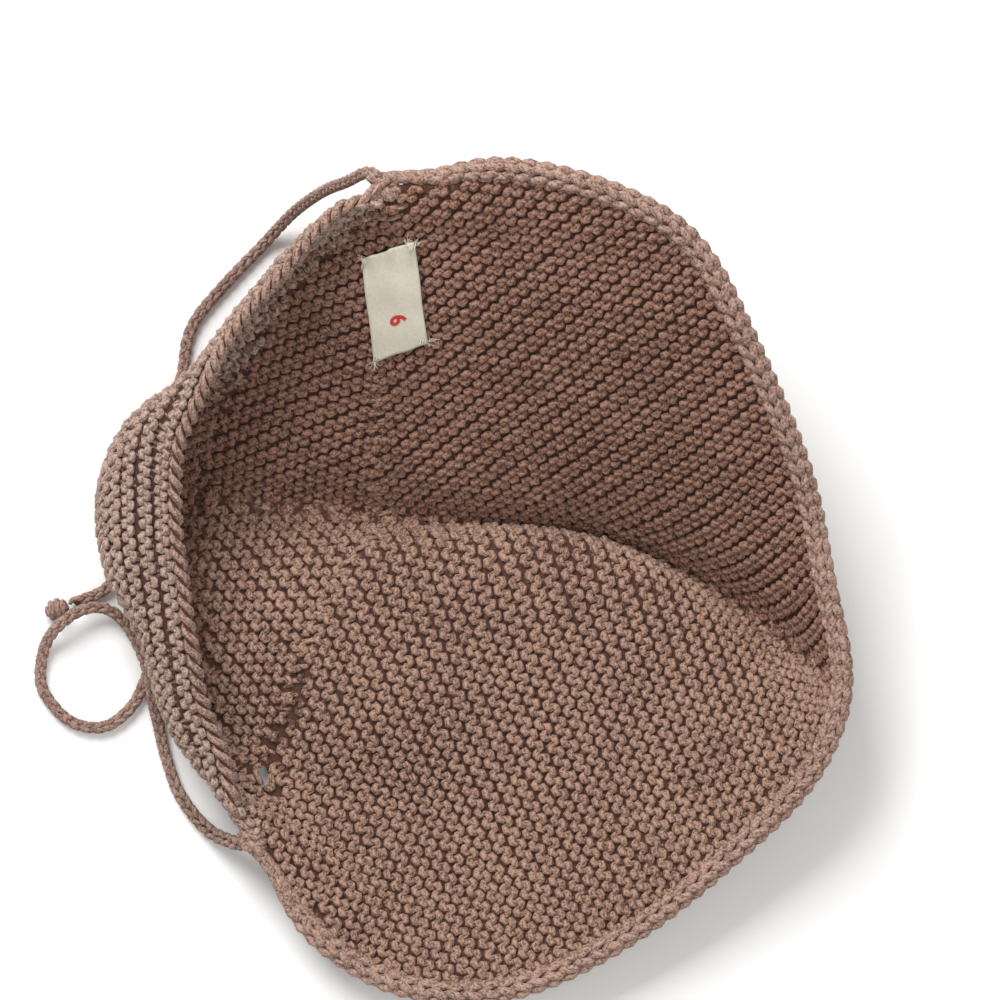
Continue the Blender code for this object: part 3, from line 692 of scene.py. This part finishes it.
def fitted(points, rises, rounds=900):
    """The values over a grid whose differences between neighbours are as near as can be to the wanted rises. They
    are found by the method of conjugate gradients."""
    weights = [1 / np.maximum(np.linalg.norm(np.diff(points, axis=k), axis=-1), 0.0001) ** 2 for k in (0, 1)]

    def gathered(down, right, sign):
        result = np.zeros(points.shape[:2])
        result[1:] += down
        result[:-1] += sign * down
        result[:, 1:] += right
        result[:, :-1] += sign * right
        return result

    scale = gathered(*weights, 1)
    found = np.zeros(points.shape[:2])
    left = gathered(*[weight * rise for weight, rise in zip(weights, rises)], -1)
    heading = left / scale
    product = (left * heading).sum()
    goal = product * 1e-12
    for _ in range(rounds):
        moved = gathered(*[weights[k] * np.diff(heading, axis=k) for k in (0, 1)], -1)
        size = product / (heading * moved).sum()
        found += size * heading
        left = left - size * moved
        better = left / scale
        ahead = (left * better).sum()
        if ahead < goal:
            break
        heading = better + heading * ahead / product
        product = ahead
    return found


def on_cloth(degrees, facing):
    """The way along the cloth that looks, from above, like this direction."""
    flat = np.array([math.cos(math.radians(degrees)), math.sin(math.radians(degrees)), 0.0])
    rise = -(facing * flat).sum(-1) / np.maximum(facing[..., 2], 0.4)
    way = flat + rise[..., None] * np.array([0, 0, 1.0])
    return unit(way - facing * (way * facing).sum(-1, keepdims=True))


def course_runs(points, facing, courses, stitches, depth, fold=None):
    """The courses of one part of the cloth. courses and stitches are the two fields of distance, and courses rises
    steadily down each column of the grid. A course that reaches the fold row starts exactly on it."""
    columns = np.arange(points.shape[1])
    rows = np.arange(len(points), dtype=float)
    flip = courses[-1].mean() < courses[0].mean()
    rising = courses[::-1] if flip else courses
    rows = rows[::-1] if flip else rows
    rising = np.maximum.accumulate(rising + np.arange(len(rising))[:, None] * 1e-9, axis=0)
    runs = {}
    for number in range(int(rising.min() / COURSE) - 1, int(rising.max() / COURSE) + 2):
        level = (number + 0.5) * COURSE
        inside = (rising[0] < level) & (rising[-1] > level)
        edges = np.flatnonzero(np.diff(np.concatenate([[0], inside.astype(int), [0]])))
        for first, last in zip(edges[::2], edges[1::2]):
            if last - first < 2:
                continue
            pick = columns[first:last].astype(float)
            at = np.array([np.interp(level, rising[:, c], rows) for c in columns[first:last]])
            on_fold = False
            if fold is not None and first > 0:
                before, after = courses[fold, first - 1], courses[fold, first]
                if (before - level) * (after - level) <= 0:
                    pick = np.concatenate([[first - 1 + (level - before) / (after - before)], pick])
                    at = np.concatenate([[fold], at])
                    on_fold = True
            low, left = np.clip(at.astype(int), 0, len(points) - 2), np.clip(pick.astype(int), 0, columns[-1] - 1)
            share, aside = (at - low)[:, None], (pick - left)[:, None]

            def read(values):
                near = values[low, left] * (1 - share) + values[low + 1, left] * share
                far = values[low, left + 1] * (1 - share) + values[low + 1, left + 1] * share
                return near * (1 - aside) + far * aside

            spot, face = read(points), unit(read(facing))
            way, dip = read(stitches[..., None])[:, 0], read(depth)
            if way[-1] < way[0]:
                spot, face, way, dip = spot[::-1], face[::-1], way[::-1], dip[::-1]
            way = np.maximum.accumulate(way + np.arange(len(way)) * 1e-9)
            runs.setdefault(number, []).append((spot, face, way, dip, on_fold))
    return runs


# Where the lower seam gapes, from above, and how narrow and how deep the gap is. Yarn in the gap is also coloured
# darker, as painted shade.
GAP_LINE = np.array([(-0.0388, -0.0181), (-0.0398, -0.0231), (-0.0407, -0.0270), (-0.0423, -0.0307),
                     (-0.0452, -0.0352), (-0.0473, -0.0398)])
GAP_WIDTH = 0.0008
GAP_DEPTH = 0.0006
GAP_TOP = 0.03


def in_gap(line):
    """How far each point of a yarn lies in the gap of the lower seam, from 0 to 1."""
    starts, legs = GAP_LINE[:-1], np.diff(GAP_LINE, axis=0)
    away = line[:, None, :2] - starts
    share = np.clip((away * legs).sum(-1) / (legs ** 2).sum(-1), 0, 1)
    near = np.linalg.norm(away - share[..., None] * legs, axis=-1).min(axis=1)
    return np.exp(-(near / GAP_WIDTH) ** 2) * (line[:, 2] < GAP_TOP)


def looped(run, number, up):
    """The yarn of one course, with its heads and feet. up is 1 where the courses rise to the left of its run."""
    spot, face, way, dip, _ = run
    first, last = way[0] / STITCH * 2 * np.pi, way[-1] / STITCH * 2 * np.pi
    count = max(4, round((last - first) / (2 * np.pi) * STITCH_POINTS))
    turn = np.linspace(first, last, count + 1)
    at = np.clip(turn * STITCH / (2 * np.pi) + LOOP_WANDER * np.sin(2 * turn), way[0], way[-1])
    ahead = unit(read_along(at, way, np.gradient(spot, axis=0)))
    top = unit(read_along(at, way, face))
    across = np.cross(top, ahead) * up
    sign = 1 if number % 2 else -1
    shallow, stretch = np.split(read_along(at, way, dip), 2, axis=1)
    deep = LOOP_DEPTH * shallow
    beats = np.arange(int(first / np.pi) - 1, int(last / np.pi) + 3)
    uneven = hand.normal(0, UNEVEN, (3, len(beats)))
    rise, sink, slide = [np.interp(turn / np.pi, beats, values)[:, None] for values in uneven]
    swing = np.cos(turn)[:, None]
    stands = swing * np.abs(swing) ** 0.4
    line = read_along(at, way, spot) + across * (LOOP_HEIGHT * stretch * swing + rise) + ahead * slide
    line = line + top * (sign * deep * stands + sink)
    gap = in_gap(line)
    line[:, 2] = np.maximum(line[:, 2] - GAP_DEPTH * gap, YARN_AT_LEG)
    # How far the yarn stands out, which also paints its crowns lighter and its legs darker as painted light and shade
    crown_painted_shade = np.abs(np.cos(turn)) ** 1.5
    radius = (YARN_AT_LEG + (YARN_AT_CROWN - YARN_AT_LEG) * crown_painted_shade) * (1 - 0.5 * gap)
    # Yarn in the gap is sunk and thinned, and its colour painted darker as painted shade for the dark slit
    return line, top, radius, crown_painted_shade * (1 - gap) - 1.4 * gap


def leaf_courses(grid, facing, side):
    """The yarn of all the courses either side of the fold, the two halves of a course joined across it."""
    halves = {"upper": slice(FOLD_ROW, None), "lower": slice(None, FOLD_ROW + 1)}
    ridges = {half: on_cloth(RIDGES[f"{side}_{half}"], facing[rows]) for half, rows in halves.items()}
    climbs = {"upper": np.cross(facing[halves["upper"]], ridges["upper"]),
              "lower": np.cross(ridges["lower"], facing[halves["lower"]])}
    for _ in range(2):
        down, right = zip(*[edge_rises(grid[halves[half]], climbs[half]) for half in ("lower", "upper")])
        fold_line = (right[0][-1:] + right[1][:1]) / 2
        rises = [np.concatenate(down), np.concatenate([right[0][:-1], fold_line, right[1][1:]])]
        courses = fitted(grid, rises)
        climbs = {half: unit(slope(grid[rows], courses[rows])) for half, rows in halves.items()}
    courses -= courses[FOLD_ROW, 0]
    steep = np.concatenate([np.linalg.norm(slope(grid[rows], courses[rows]), axis=-1)[cut]
                            for rows, cut in ((halves["lower"], slice(None, -1)), (halves["upper"], slice(None)))])
    shallow = np.repeat((1 - 0.35 * np.exp(-(places / 0.05) ** 2))[:, None], grid.shape[1], axis=1)
    dips = np.stack([shallow, smoothed(np.clip(1 / np.maximum(steep, 0.1), 0.8, 1.7), 3)], axis=-1)
    found = {}
    for half, rows in halves.items():
        turned = -1 if half == "upper" else 1
        way = np.cross(facing[rows], climbs[half]) * turned
        for _ in range(3):
            stitches = fitted(grid[rows], edge_rises(grid[rows], way))
            way = unit(slope(grid[rows], stitches))
        stitches -= stitches[0 if half == "upper" else -1, 0]
        fold = 0 if half == "upper" else len(grid[rows]) - 1
        found[half] = course_runs(grid[rows], facing[rows], courses[rows], stitches, dips[rows], fold)
    made = {"upper": [], "lower": []}
    for number in sorted(set(found["upper"]) | set(found["lower"])):
        joins = {}
        for half, up in (("upper", 1), ("lower", -1)):
            for run in found[half].get(number, []):
                if run[2][-1] - run[2][0] < 0.5 * STITCH:
                    continue
                yarn = looped(run, number, up)
                if run[4] and half not in joins:
                    joins[half] = yarn
                else:
                    made[half].append(yarn)
        for half, (line, top, radius, crown_painted_shade) in joins.items():
            other = joins.get("lower" if half == "upper" else "upper")
            if other:
                meeting = (other[0][:1] + line[:1]) / 2
                line, top = np.concatenate([meeting, line]), np.concatenate([top[:1], top])
                radius, crown_painted_shade = np.concatenate([radius[:1], radius]), np.concatenate([crown_painted_shade[:1], crown_painted_shade])
            made[half].append((line, top, radius, crown_painted_shade))
    return made


def run_under(grid, facing, reach):
    """The cloth carried on past its last column, in under an edging."""
    fades = np.clip((0.92 - np.abs(places)) / 0.08, 0, 1)[:, None, None]
    beyond = grid[:, -1:] + unit(grid[:, -1:] - grid[:, -2:-1]) * (0.0001 + reach * fades)
    return np.concatenate([grid, beyond], axis=1), np.concatenate([facing, facing[:, -1:]], axis=1)


knit_front, knit_front_facing = run_under(knit_front, front_facing, UNDER_FACE_EDGING)
for side, grid, facing in (("front", knit_front, knit_front_facing), ("pocket", knit_pocket, pocket_facing)):
    for half, runs in leaf_courses(grid, facing, side).items():
        cuts = [0, len(runs) // 2, len(runs)] if side == "front" else [0, len(runs)]
        for part, (first, last) in zip(("stitches", "outer_stitches"), zip(cuts, cuts[1:])):
            # The upper halves take the darker copy of the wool: painted shade, for they face away from the light
            surface = painted_shade_wool if half == "upper" else yarn_wool
            knitted_piece(f"{side}_{half}_{part}", runs[first:last], surface)

# The band under the neck rim is knitted the other way: its courses run along the rim
wide_band, wide_facing = run_under(band[:, ::-1], band_facing[:, ::-1], UNDER_NECK_EDGING)
turned = np.transpose(wide_band[:, ::-1], (1, 0, 2))
turned_facing = np.transpose(wide_facing[:, ::-1], (1, 0, 2))
band_courses = np.array([along(line) for line in wide_band[:, ::-1]]).T
band_stitches = fitted(turned, edge_rises(turned, unit(np.gradient(turned, axis=1))))
band_stitches -= band_stitches[0, FOLD_ROW]
runs = course_runs(turned, turned_facing, band_courses, band_stitches, np.ones((*turned.shape[:2], 2)))
band_runs = {"neck_band_stitches": [], "heel_stitches": []}
for number, group in runs.items():
    for run in group:
        if run[2][-1] - run[2][0] > STITCH:
            # Runs facing up inside the rim go to the heel, which takes the darker wool of painted shade
            lies_inside = run[1][:, 2].mean() > INSIDE_FACING
            band_runs["heel_stitches" if lies_inside else "neck_band_stitches"].append(looped(run, number, -1))
# The outside of the band takes the lighter wool of painted light
for name, surface in (("neck_band_stitches", painted_light_wool), ("heel_stitches", painted_shade_wool)):
    knitted_piece(name, band_runs[name], surface)


# The edgings
#
# A thick roll of three columns of stitches is knitted on along the face edge, and a thinner rope of two strands is
# laid along the neck edge. Both narrow towards the chin corners, where they run on into the ties.

FACE_EDGING_WIDTH = 0.0062
FACE_EDGING_THICKNESS = 0.0050
NECK_EDGING_WIDTH = 0.0043
NECK_EDGING_THICKNESS = 0.0040
NECK_EDGING_END = 0.985
FACE_EDGING_COLUMNS = 3
FACE_EDGING_PITCH = 0.0039
FACE_EDGING_YARN = 0.00090
NECK_ROPE_LAY = 0.0072
NECK_ROPE_YARN = 0.00108
EDGING_STEPS = 220
CORNER_SHARE = 0.14
KNITTED_IN = 0.0007

edge_wool = wool("heathered wool edging", (0.455, 0.300, 0.240), (0.120, 0.064, 0.048), ply=0.0024, strength=0.6)
even = np.linspace(-1, 1, EDGING_STEPS + 1)
edge_band, _, edge_front = cloth_grids(even, (12, 6, 15))
for name, edge, beside, column, width, thickness, end, first in (
    ("face_edging", edge_front[:, -1], edge_front[:, -2], -1, FACE_EDGING_WIDTH, FACE_EDGING_THICKNESS, 1.0, 1),
    ("neck_edging", edge_band[:, 0], edge_band[:, 1], 0, NECK_EDGING_WIDTH, NECK_EDGING_THICKNESS, NECK_EDGING_END, 2),
):
    ups = read_along(even, places, inwards[:, column])
    kept = np.abs(even) <= end
    edge, beside, ups, spots = edge[kept], beside[kept], ups[kept], even[kept]
    run = unit(np.gradient(edge, axis=0))
    up = unit(ups - run * (ups * run).sum(1)[:, None])
    out = np.cross(run, up)
    out *= np.sign((out * (edge - beside)).sum(1))[:, None]
    share = np.clip((1 - np.abs(spots)) / CORNER_SHARE, 0, 1)
    taper = share * share * (3 - 2 * share)
    half_width = (TIE_DIAMETER + (width - TIE_DIAMETER) * taper) / 2
    half_height = (TIE_DIAMETER + (thickness - TIE_DIAMETER) * taper) / 2
    line = edge + out * (half_width - KNITTED_IN)[:, None]
    line[:, 2] = np.maximum(line[:, 2], half_height)
    knots = np.concatenate([LOWER_TIE_POINTS[first:4][::-1], line[3:-3:4], UPPER_TIE_POINTS[first:4]])
    fine = even_line(knots, LINE_STEP)
    nearest = np.argmin(np.linalg.norm(fine[:, None] - line[None], axis=2), axis=1)
    line, up, half_width, half_height = fine, up[nearest], half_width[nearest], half_height[nearest]
    if name == "neck_edging":
        runs = laid_rope(line, up, half_width, half_height, NECK_ROPE_LAY, NECK_ROPE_YARN)
    else:
        runs = [knitted_roll(line, up, half_width, half_height, FACE_EDGING_COLUMNS, FACE_EDGING_PITCH,
                             FACE_EDGING_YARN)]
    core = [(line[3:-3], up[3:-3], np.minimum(half_width, half_height)[3:-3] * 0.5, 0)]
    piece = knitted_piece(name + "_stitches", runs, edge_wool, (core, shade_wool))
    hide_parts(name)


# The two edges are drawn together at each chin corner by a few turns of yarn
CORNER_YARN = 0.0009
CORNER_TURNS = 4.6
CORNER_WIDTH = 0.0040
CORNER_HEIGHT = 0.0026
CORNER_OVERLAP = 0.0004
CORNER_OUT = 0.0006
corner_runs, corner_cores = [], []
for row, before in ((0, 3), (EDGING_STEPS, EDGING_STEPS - 3)):
    ends = np.array([edge_band[row, 0], edge_front[row, -1]])
    past = unit(ends.mean(axis=0) - (edge_band[before, 0] + edge_front[before, -1]) / 2)
    heading = unit(ends[1] - ends[0])
    across = unit(past - heading * (past @ heading))
    axes = np.stack([heading, across, np.cross(heading, across)])
    size = np.array([np.linalg.norm(ends[1] - ends[0]) / 2 + CORNER_OVERLAP, CORNER_WIDTH / 2, CORNER_HEIGHT / 2])
    middle = ends.mean(axis=0) + past * CORNER_OUT
    corner_runs.append(wound_yarn(middle, axes, size, CORNER_TURNS, CORNER_YARN))
    corner_cores.append((middle + np.outer(np.linspace(-0.8, 0.8, 7), heading) * size[0],
                         np.tile(axes[2], (7, 1)), size[2], 0))
corners = knitted_piece("corner_stitches", corner_runs, edge_wool, (corner_cores, shade_wool))


# The seam
#
# The shallow back and the deep front are joined by over-and-over stitches of the same yarn, pulled down into the
# cloth. They stop at the eyelet, whose edge is bound with a strand of yarn on each side.

SEAM_STEP = 0.0034
SEAM_REACH = 0.0024
SEAM_LEAN = 0.0009
SEAM_LIFT = 0.0005
SEAM_YARN = 0.00062
SEAM_END = 0.004
BARE_BY_EYELET = 0.045
BOUND_BY_EYELET = 0.040
BINDING_LIFT = 0.0009
BINDING_YARN = 0.0007


def over_stitch(grid_row, facing_row, centre, reach):
    """One short stitch over the seam, both ends of it sunk in the cloth."""
    across = unit(grid_row[1] - grid_row[0])
    ahead = unit(np.cross(facing_row, across))
    arc = np.linspace(-1, 1, 9)
    line = centre + np.outer(arc * reach, across) + np.outer(arc * SEAM_LEAN, ahead)
    line = line + np.outer(SEAM_LIFT * np.cos(arc * np.pi / 2 * 1.25) + 0.0003, facing_row)
    line[:, 2] = np.maximum(line[:, 2], 0.0008)
    return line, np.tile(facing_row, (9, 1)), SEAM_YARN, np.cos(arc * np.pi / 2)


seam_line = (knit_pocket[:, -1] + knit_front[:, 0]) / 2
seam_length = along(seam_line)
seam_runs = []
for at in np.arange(SEAM_END, seam_length[-1] - SEAM_END, SEAM_STEP):
    row = int(np.searchsorted(seam_length, at))
    if abs(places[row] - EYELET_PLACE) < BARE_BY_EYELET:
        continue
    slack = seam_slack(places[row])
    centre = seam_line[row] - pocket_facing[row, -1] * slack
    seam_runs.append(over_stitch((knit_pocket[row, -4], knit_front[row, 3]), pocket_facing[row, -1], centre,
                                 SEAM_REACH + slack * 0.6))
for grid, facing, column in ((pocket, pocket_facing, -1), (front, front_facing, 0)):
    rows = np.flatnonzero(np.abs(places - EYELET_PLACE) < BOUND_BY_EYELET)
    rim = grid[rows, column] + facing[rows, column] * BINDING_LIFT
    seam_runs.append((rim, facing[rows, column], BINDING_YARN, 0.5))
seam = knitted_piece("seam_stitches", seam_runs, yarn_wool)


# The size label
#
# A short piece of cream woven tape, sewn down inside over the upper end of the seam. A plain size number is printed
# on it, its top end is puckered, and its cut ends are a little frayed.

LABEL_WIDTH = 0.0127
LABEL_LENGTH = 0.0266
LABEL_PLACE = (-0.0180, 0.0644)
LABEL_ACROSS = (0.950, 0.312)
LABEL_UP = (-0.120, 0.993)
LABEL_SLOPE = 0.86
LABEL_THICKNESS = 0.00045
LABEL_RISE = 0.0029
LABEL_STEPS = (26, 48)
PUCKER = 0.00045
FINE_PUCKER = 0.00030
RIPPLE = 0.00014
CROSS_RIPPLE = 0.00010
CORNER_HELD = 0.0007

label_cloth, shader, start = new_material("cream woven tape", 0.8, sheen=0.12)
parts = start.node("ShaderNodeSeparateXYZ", "X", Vector=start.node("ShaderNodeUVMap", "UV", {"uv_map": "tape"}))
across_tape, along_tape = parts, Value(start.tree, parts.socket.node.outputs["Y"])
WARP, WEFT = 0.00034, 0.00030
warp = (across_tape * (2 * math.pi / WARP)).sine()
weft = (along_tape * (2 * math.pi / WEFT)).sine()
weave = (warp * weft) * 0.5 + 0.5
place = start.node("ShaderNodeTexCoord", "Object")
threads = noise(start, place, 1300.0, 3.0, 0.6)
broad = noise(start, place, 160.0, 2.0)
share = (weave * 0.45 + threads * 0.6 + broad * 0.35).between(0.25, 1.15)
tape_colour = blend(start, share, (0.49, 0.45, 0.35), (0.77, 0.73, 0.61))
finish_surface(shader, start, tape_colour, weave * 0.6 + threads * 0.6, 0.55, 0.00012)

clear_selection()
bpy.ops.mesh.primitive_grid_add(x_subdivisions=LABEL_STEPS[0], y_subdivisions=LABEL_STEPS[1], size=1)
tape = bpy.context.object
tape.name = "woven_label"
front_tree = BVHTree.FromPolygons(
    joined.reshape(-1, 3).tolist(),
    [(i * joined.shape[1] + j, i * joined.shape[1] + j + 1, (i + 1) * joined.shape[1] + j + 1,
      (i + 1) * joined.shape[1] + j) for i in range(len(joined) - 1) for j in range(joined.shape[1] - 1)])


def tape_spot(u, v):
    """Where a point of the flat tape lies, from above. u and v run from -1 to 1."""
    x, y = u * LABEL_WIDTH / 2, v * LABEL_LENGTH * LABEL_SLOPE / 2
    return tuple(LABEL_PLACE[k] + x * LABEL_ACROSS[k] + y * LABEL_UP[k] for k in (0, 1))


fit, heights = [], []
for u in np.linspace(-1, 1, 9):
    for v in np.linspace(-1, 1, 13):
        x, y = tape_spot(u, v)
        heights.append(front_tree.ray_cast(Vector((x, y, 0.2)), Vector((0, 0, -1)))[0][2])
        fit.append((1, u, v, u * u, u * v, v * v, v ** 3, u * v * v))
fit = np.linalg.lstsq(np.array(fit), np.array(heights), rcond=None)[0]


def tape_height(u, v):
    """The height of the tape: a smooth sheet over the stitches, puckered at its top and held down at its corners."""
    base = float(np.dot(fit, (1, u, v, u * u, u * v, v * v, v ** 3, u * v * v)))
    top = max(0.0, v - 0.55) / 0.45
    pucker = PUCKER * top * math.sin(9.0 * u + 0.8) + FINE_PUCKER * top * top * math.sin(17 * u)
    ripple = RIPPLE * math.sin(7.5 * v + 1.5 * u) + CROSS_RIPPLE * math.sin(5 * u + 3 * v)
    held = CORNER_HELD * (abs(u) ** 6) * (abs(v) ** 10)
    return base + LABEL_RISE + pucker + ripple - held


layer = tape.data.uv_layers.new(name="tape")
for loop in tape.data.loops:
    spot = tape.data.vertices[loop.vertex_index].co
    layer.data[loop.index].uv = (spot.x * LABEL_WIDTH, spot.y * LABEL_LENGTH)
for vertex in tape.data.vertices:
    u, v = vertex.co.x * 2, vertex.co.y * 2
    wavy = 1 + 0.012 * math.sin(5 * v)
    x, y = tape_spot(u * wavy, v * (1 + 0.010 * math.sin(6 * u)))
    vertex.co = (x, y, tape_height(u, v))
bpy.ops.object.modifier_add(type="SOLIDIFY")
tape.modifiers[-1].thickness = LABEL_THICKNESS
tape.modifiers[-1].offset = 0
bpy.ops.object.modifier_apply(modifier=tape.modifiers[-1].name)
bpy.ops.object.shade_smooth()
tape.data.materials.append(label_cloth)
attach(tape, "root")
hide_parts("size_label")

# The printed number, a plain 6 turned on its side
NUMBER_PLACE = (0.06, -0.37)
NUMBER_HEIGHT = 0.0040
PRINT_RISE = 0.00010
# How deep and how bold the number is drawn, as shares of its font size
PRINT_DEPTH = 0.008
PRINT_WEIGHT = 0.032
print_red, shader, start = new_material("red print", 0.75)
place = start.node("ShaderNodeTexCoord", "Object")
worn = noise(start, place, 3200.0, 2.0)
finish_surface(shader, start, blend(start, worn.between(0.35, 0.75), (0.46, 0.020, 0.028), (0.60, 0.075, 0.075)),
               worn, 0.3, 0.00005)
clear_selection()
bpy.ops.object.text_add()
number = bpy.context.object
number.data.body = "6"
number.data.size = 1.0
number.data.extrude = PRINT_DEPTH
number.data.offset = PRINT_WEIGHT
number.data.align_x, number.data.align_y = "CENTER", "CENTER"
bpy.ops.object.convert(target="MESH")
number = bpy.context.object
number.name = "size_number"
form = bmesh.new()
form.from_mesh(number.data)
bmesh.ops.triangulate(form, faces=form.faces)
bmesh.ops.subdivide_edges(form, edges=form.edges, cuts=3, use_grid_fill=True)
form.to_mesh(number.data)
form.free()
tape_tree = BVHTree.FromPolygons([vertex.co for vertex in tape.data.vertices],
                                 [tuple(face.vertices) for face in tape.data.polygons])
spots = np.array([tuple(vertex.co) for vertex in number.data.vertices])
middle = (spots.min(axis=0) + spots.max(axis=0)) / 2
small = NUMBER_HEIGHT / np.ptp(spots[:, 1])
for vertex in number.data.vertices:
    x, y, z = (np.array(vertex.co) - middle) * small
    u = NUMBER_PLACE[0] + y / LABEL_WIDTH * 2
    v = NUMBER_PLACE[1] - x / LABEL_LENGTH * 2
    x, y = tape_spot(u, v)
    lies = tape_tree.ray_cast(Vector((x, y, 0.2)), Vector((0, 0, -1)))[0][2]
    vertex.co = (x, y, lies + PRINT_RISE + z)
number.data.materials.append(print_red)
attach(number, "root")

# Frayed threads at the cut ends, and the sewing thread that holds the corners
FRAY_RADIUS = 0.00006
FRAY_REACH = 0.0005
FRAY_SPREAD = 0.0007
FRAY_BOW = 0.0004
SEWING_RADIUS = 0.00012
SEWING_REACH = 0.0009
SEWING_LIFT = 0.0002
fray = np.random.default_rng(11)
threads = []
for u, v, out_u, out_v, count in ((1.0, 0.95, 1.0, 0.5, 16), (0.75, 1.0, 0.1, 1.0, 12), (1.0, -0.96, 1.0, -0.3, 14),
                                  (-0.95, -1.0, -0.4, -1.0, 14), (-0.96, 1.0, -0.8, 0.6, 8)):
    for _ in range(count):
        start_u, start_v = u + fray.normal(0, 0.05), v + fray.normal(0, 0.03)
        reach = FRAY_REACH + abs(fray.normal(0, FRAY_SPREAD))
        x, y = tape_spot(start_u, start_v)
        base = np.array([x, y, tape_height(u, v)])
        heading = np.array([out_u * LABEL_ACROSS[k] + out_v * LABEL_UP[k] for k in (0, 1)] + [0.0])
        heading = unit(heading + fray.normal(0, 0.45, 3) * (1, 1, 0.5))
        bow = fray.normal(0, FRAY_BOW, 3)
        steps = np.linspace(-0.35, 1, 6)[:, None]
        line = base + heading * reach * steps + bow * steps * steps
        threads.append((line, np.tile((0.0, 0.0, 1.0), (6, 1)), FRAY_RADIUS, 1))
for u, v in ((-0.88, 0.90), (0.88, 0.88), (-0.88, -0.92), (0.86, -0.92)):
    for side in (-1, 0, 1):
        x, y = tape_spot(u + side * 0.10, v)
        base = np.array([x, y, tape_height(u, v) + SEWING_LIFT])
        steps = np.linspace(-1, 1, 7)
        slant = (0.4 * LABEL_ACROSS[0] + LABEL_UP[0], 0.4 * LABEL_ACROSS[1] + LABEL_UP[1], 0)
        line = base + np.outer(steps * SEWING_REACH, slant)
        line[:, 2] += SEWING_LIFT * np.cos(steps * np.pi / 2 * 1.3)
        threads.append((line, np.tile((0.0, 0.0, 1.0), (7, 1)), SEWING_RADIUS, 1))
fringe = knitted_piece("label_threads", threads, label_cloth)
fringe.data.uv_layers[0].name = "tape"
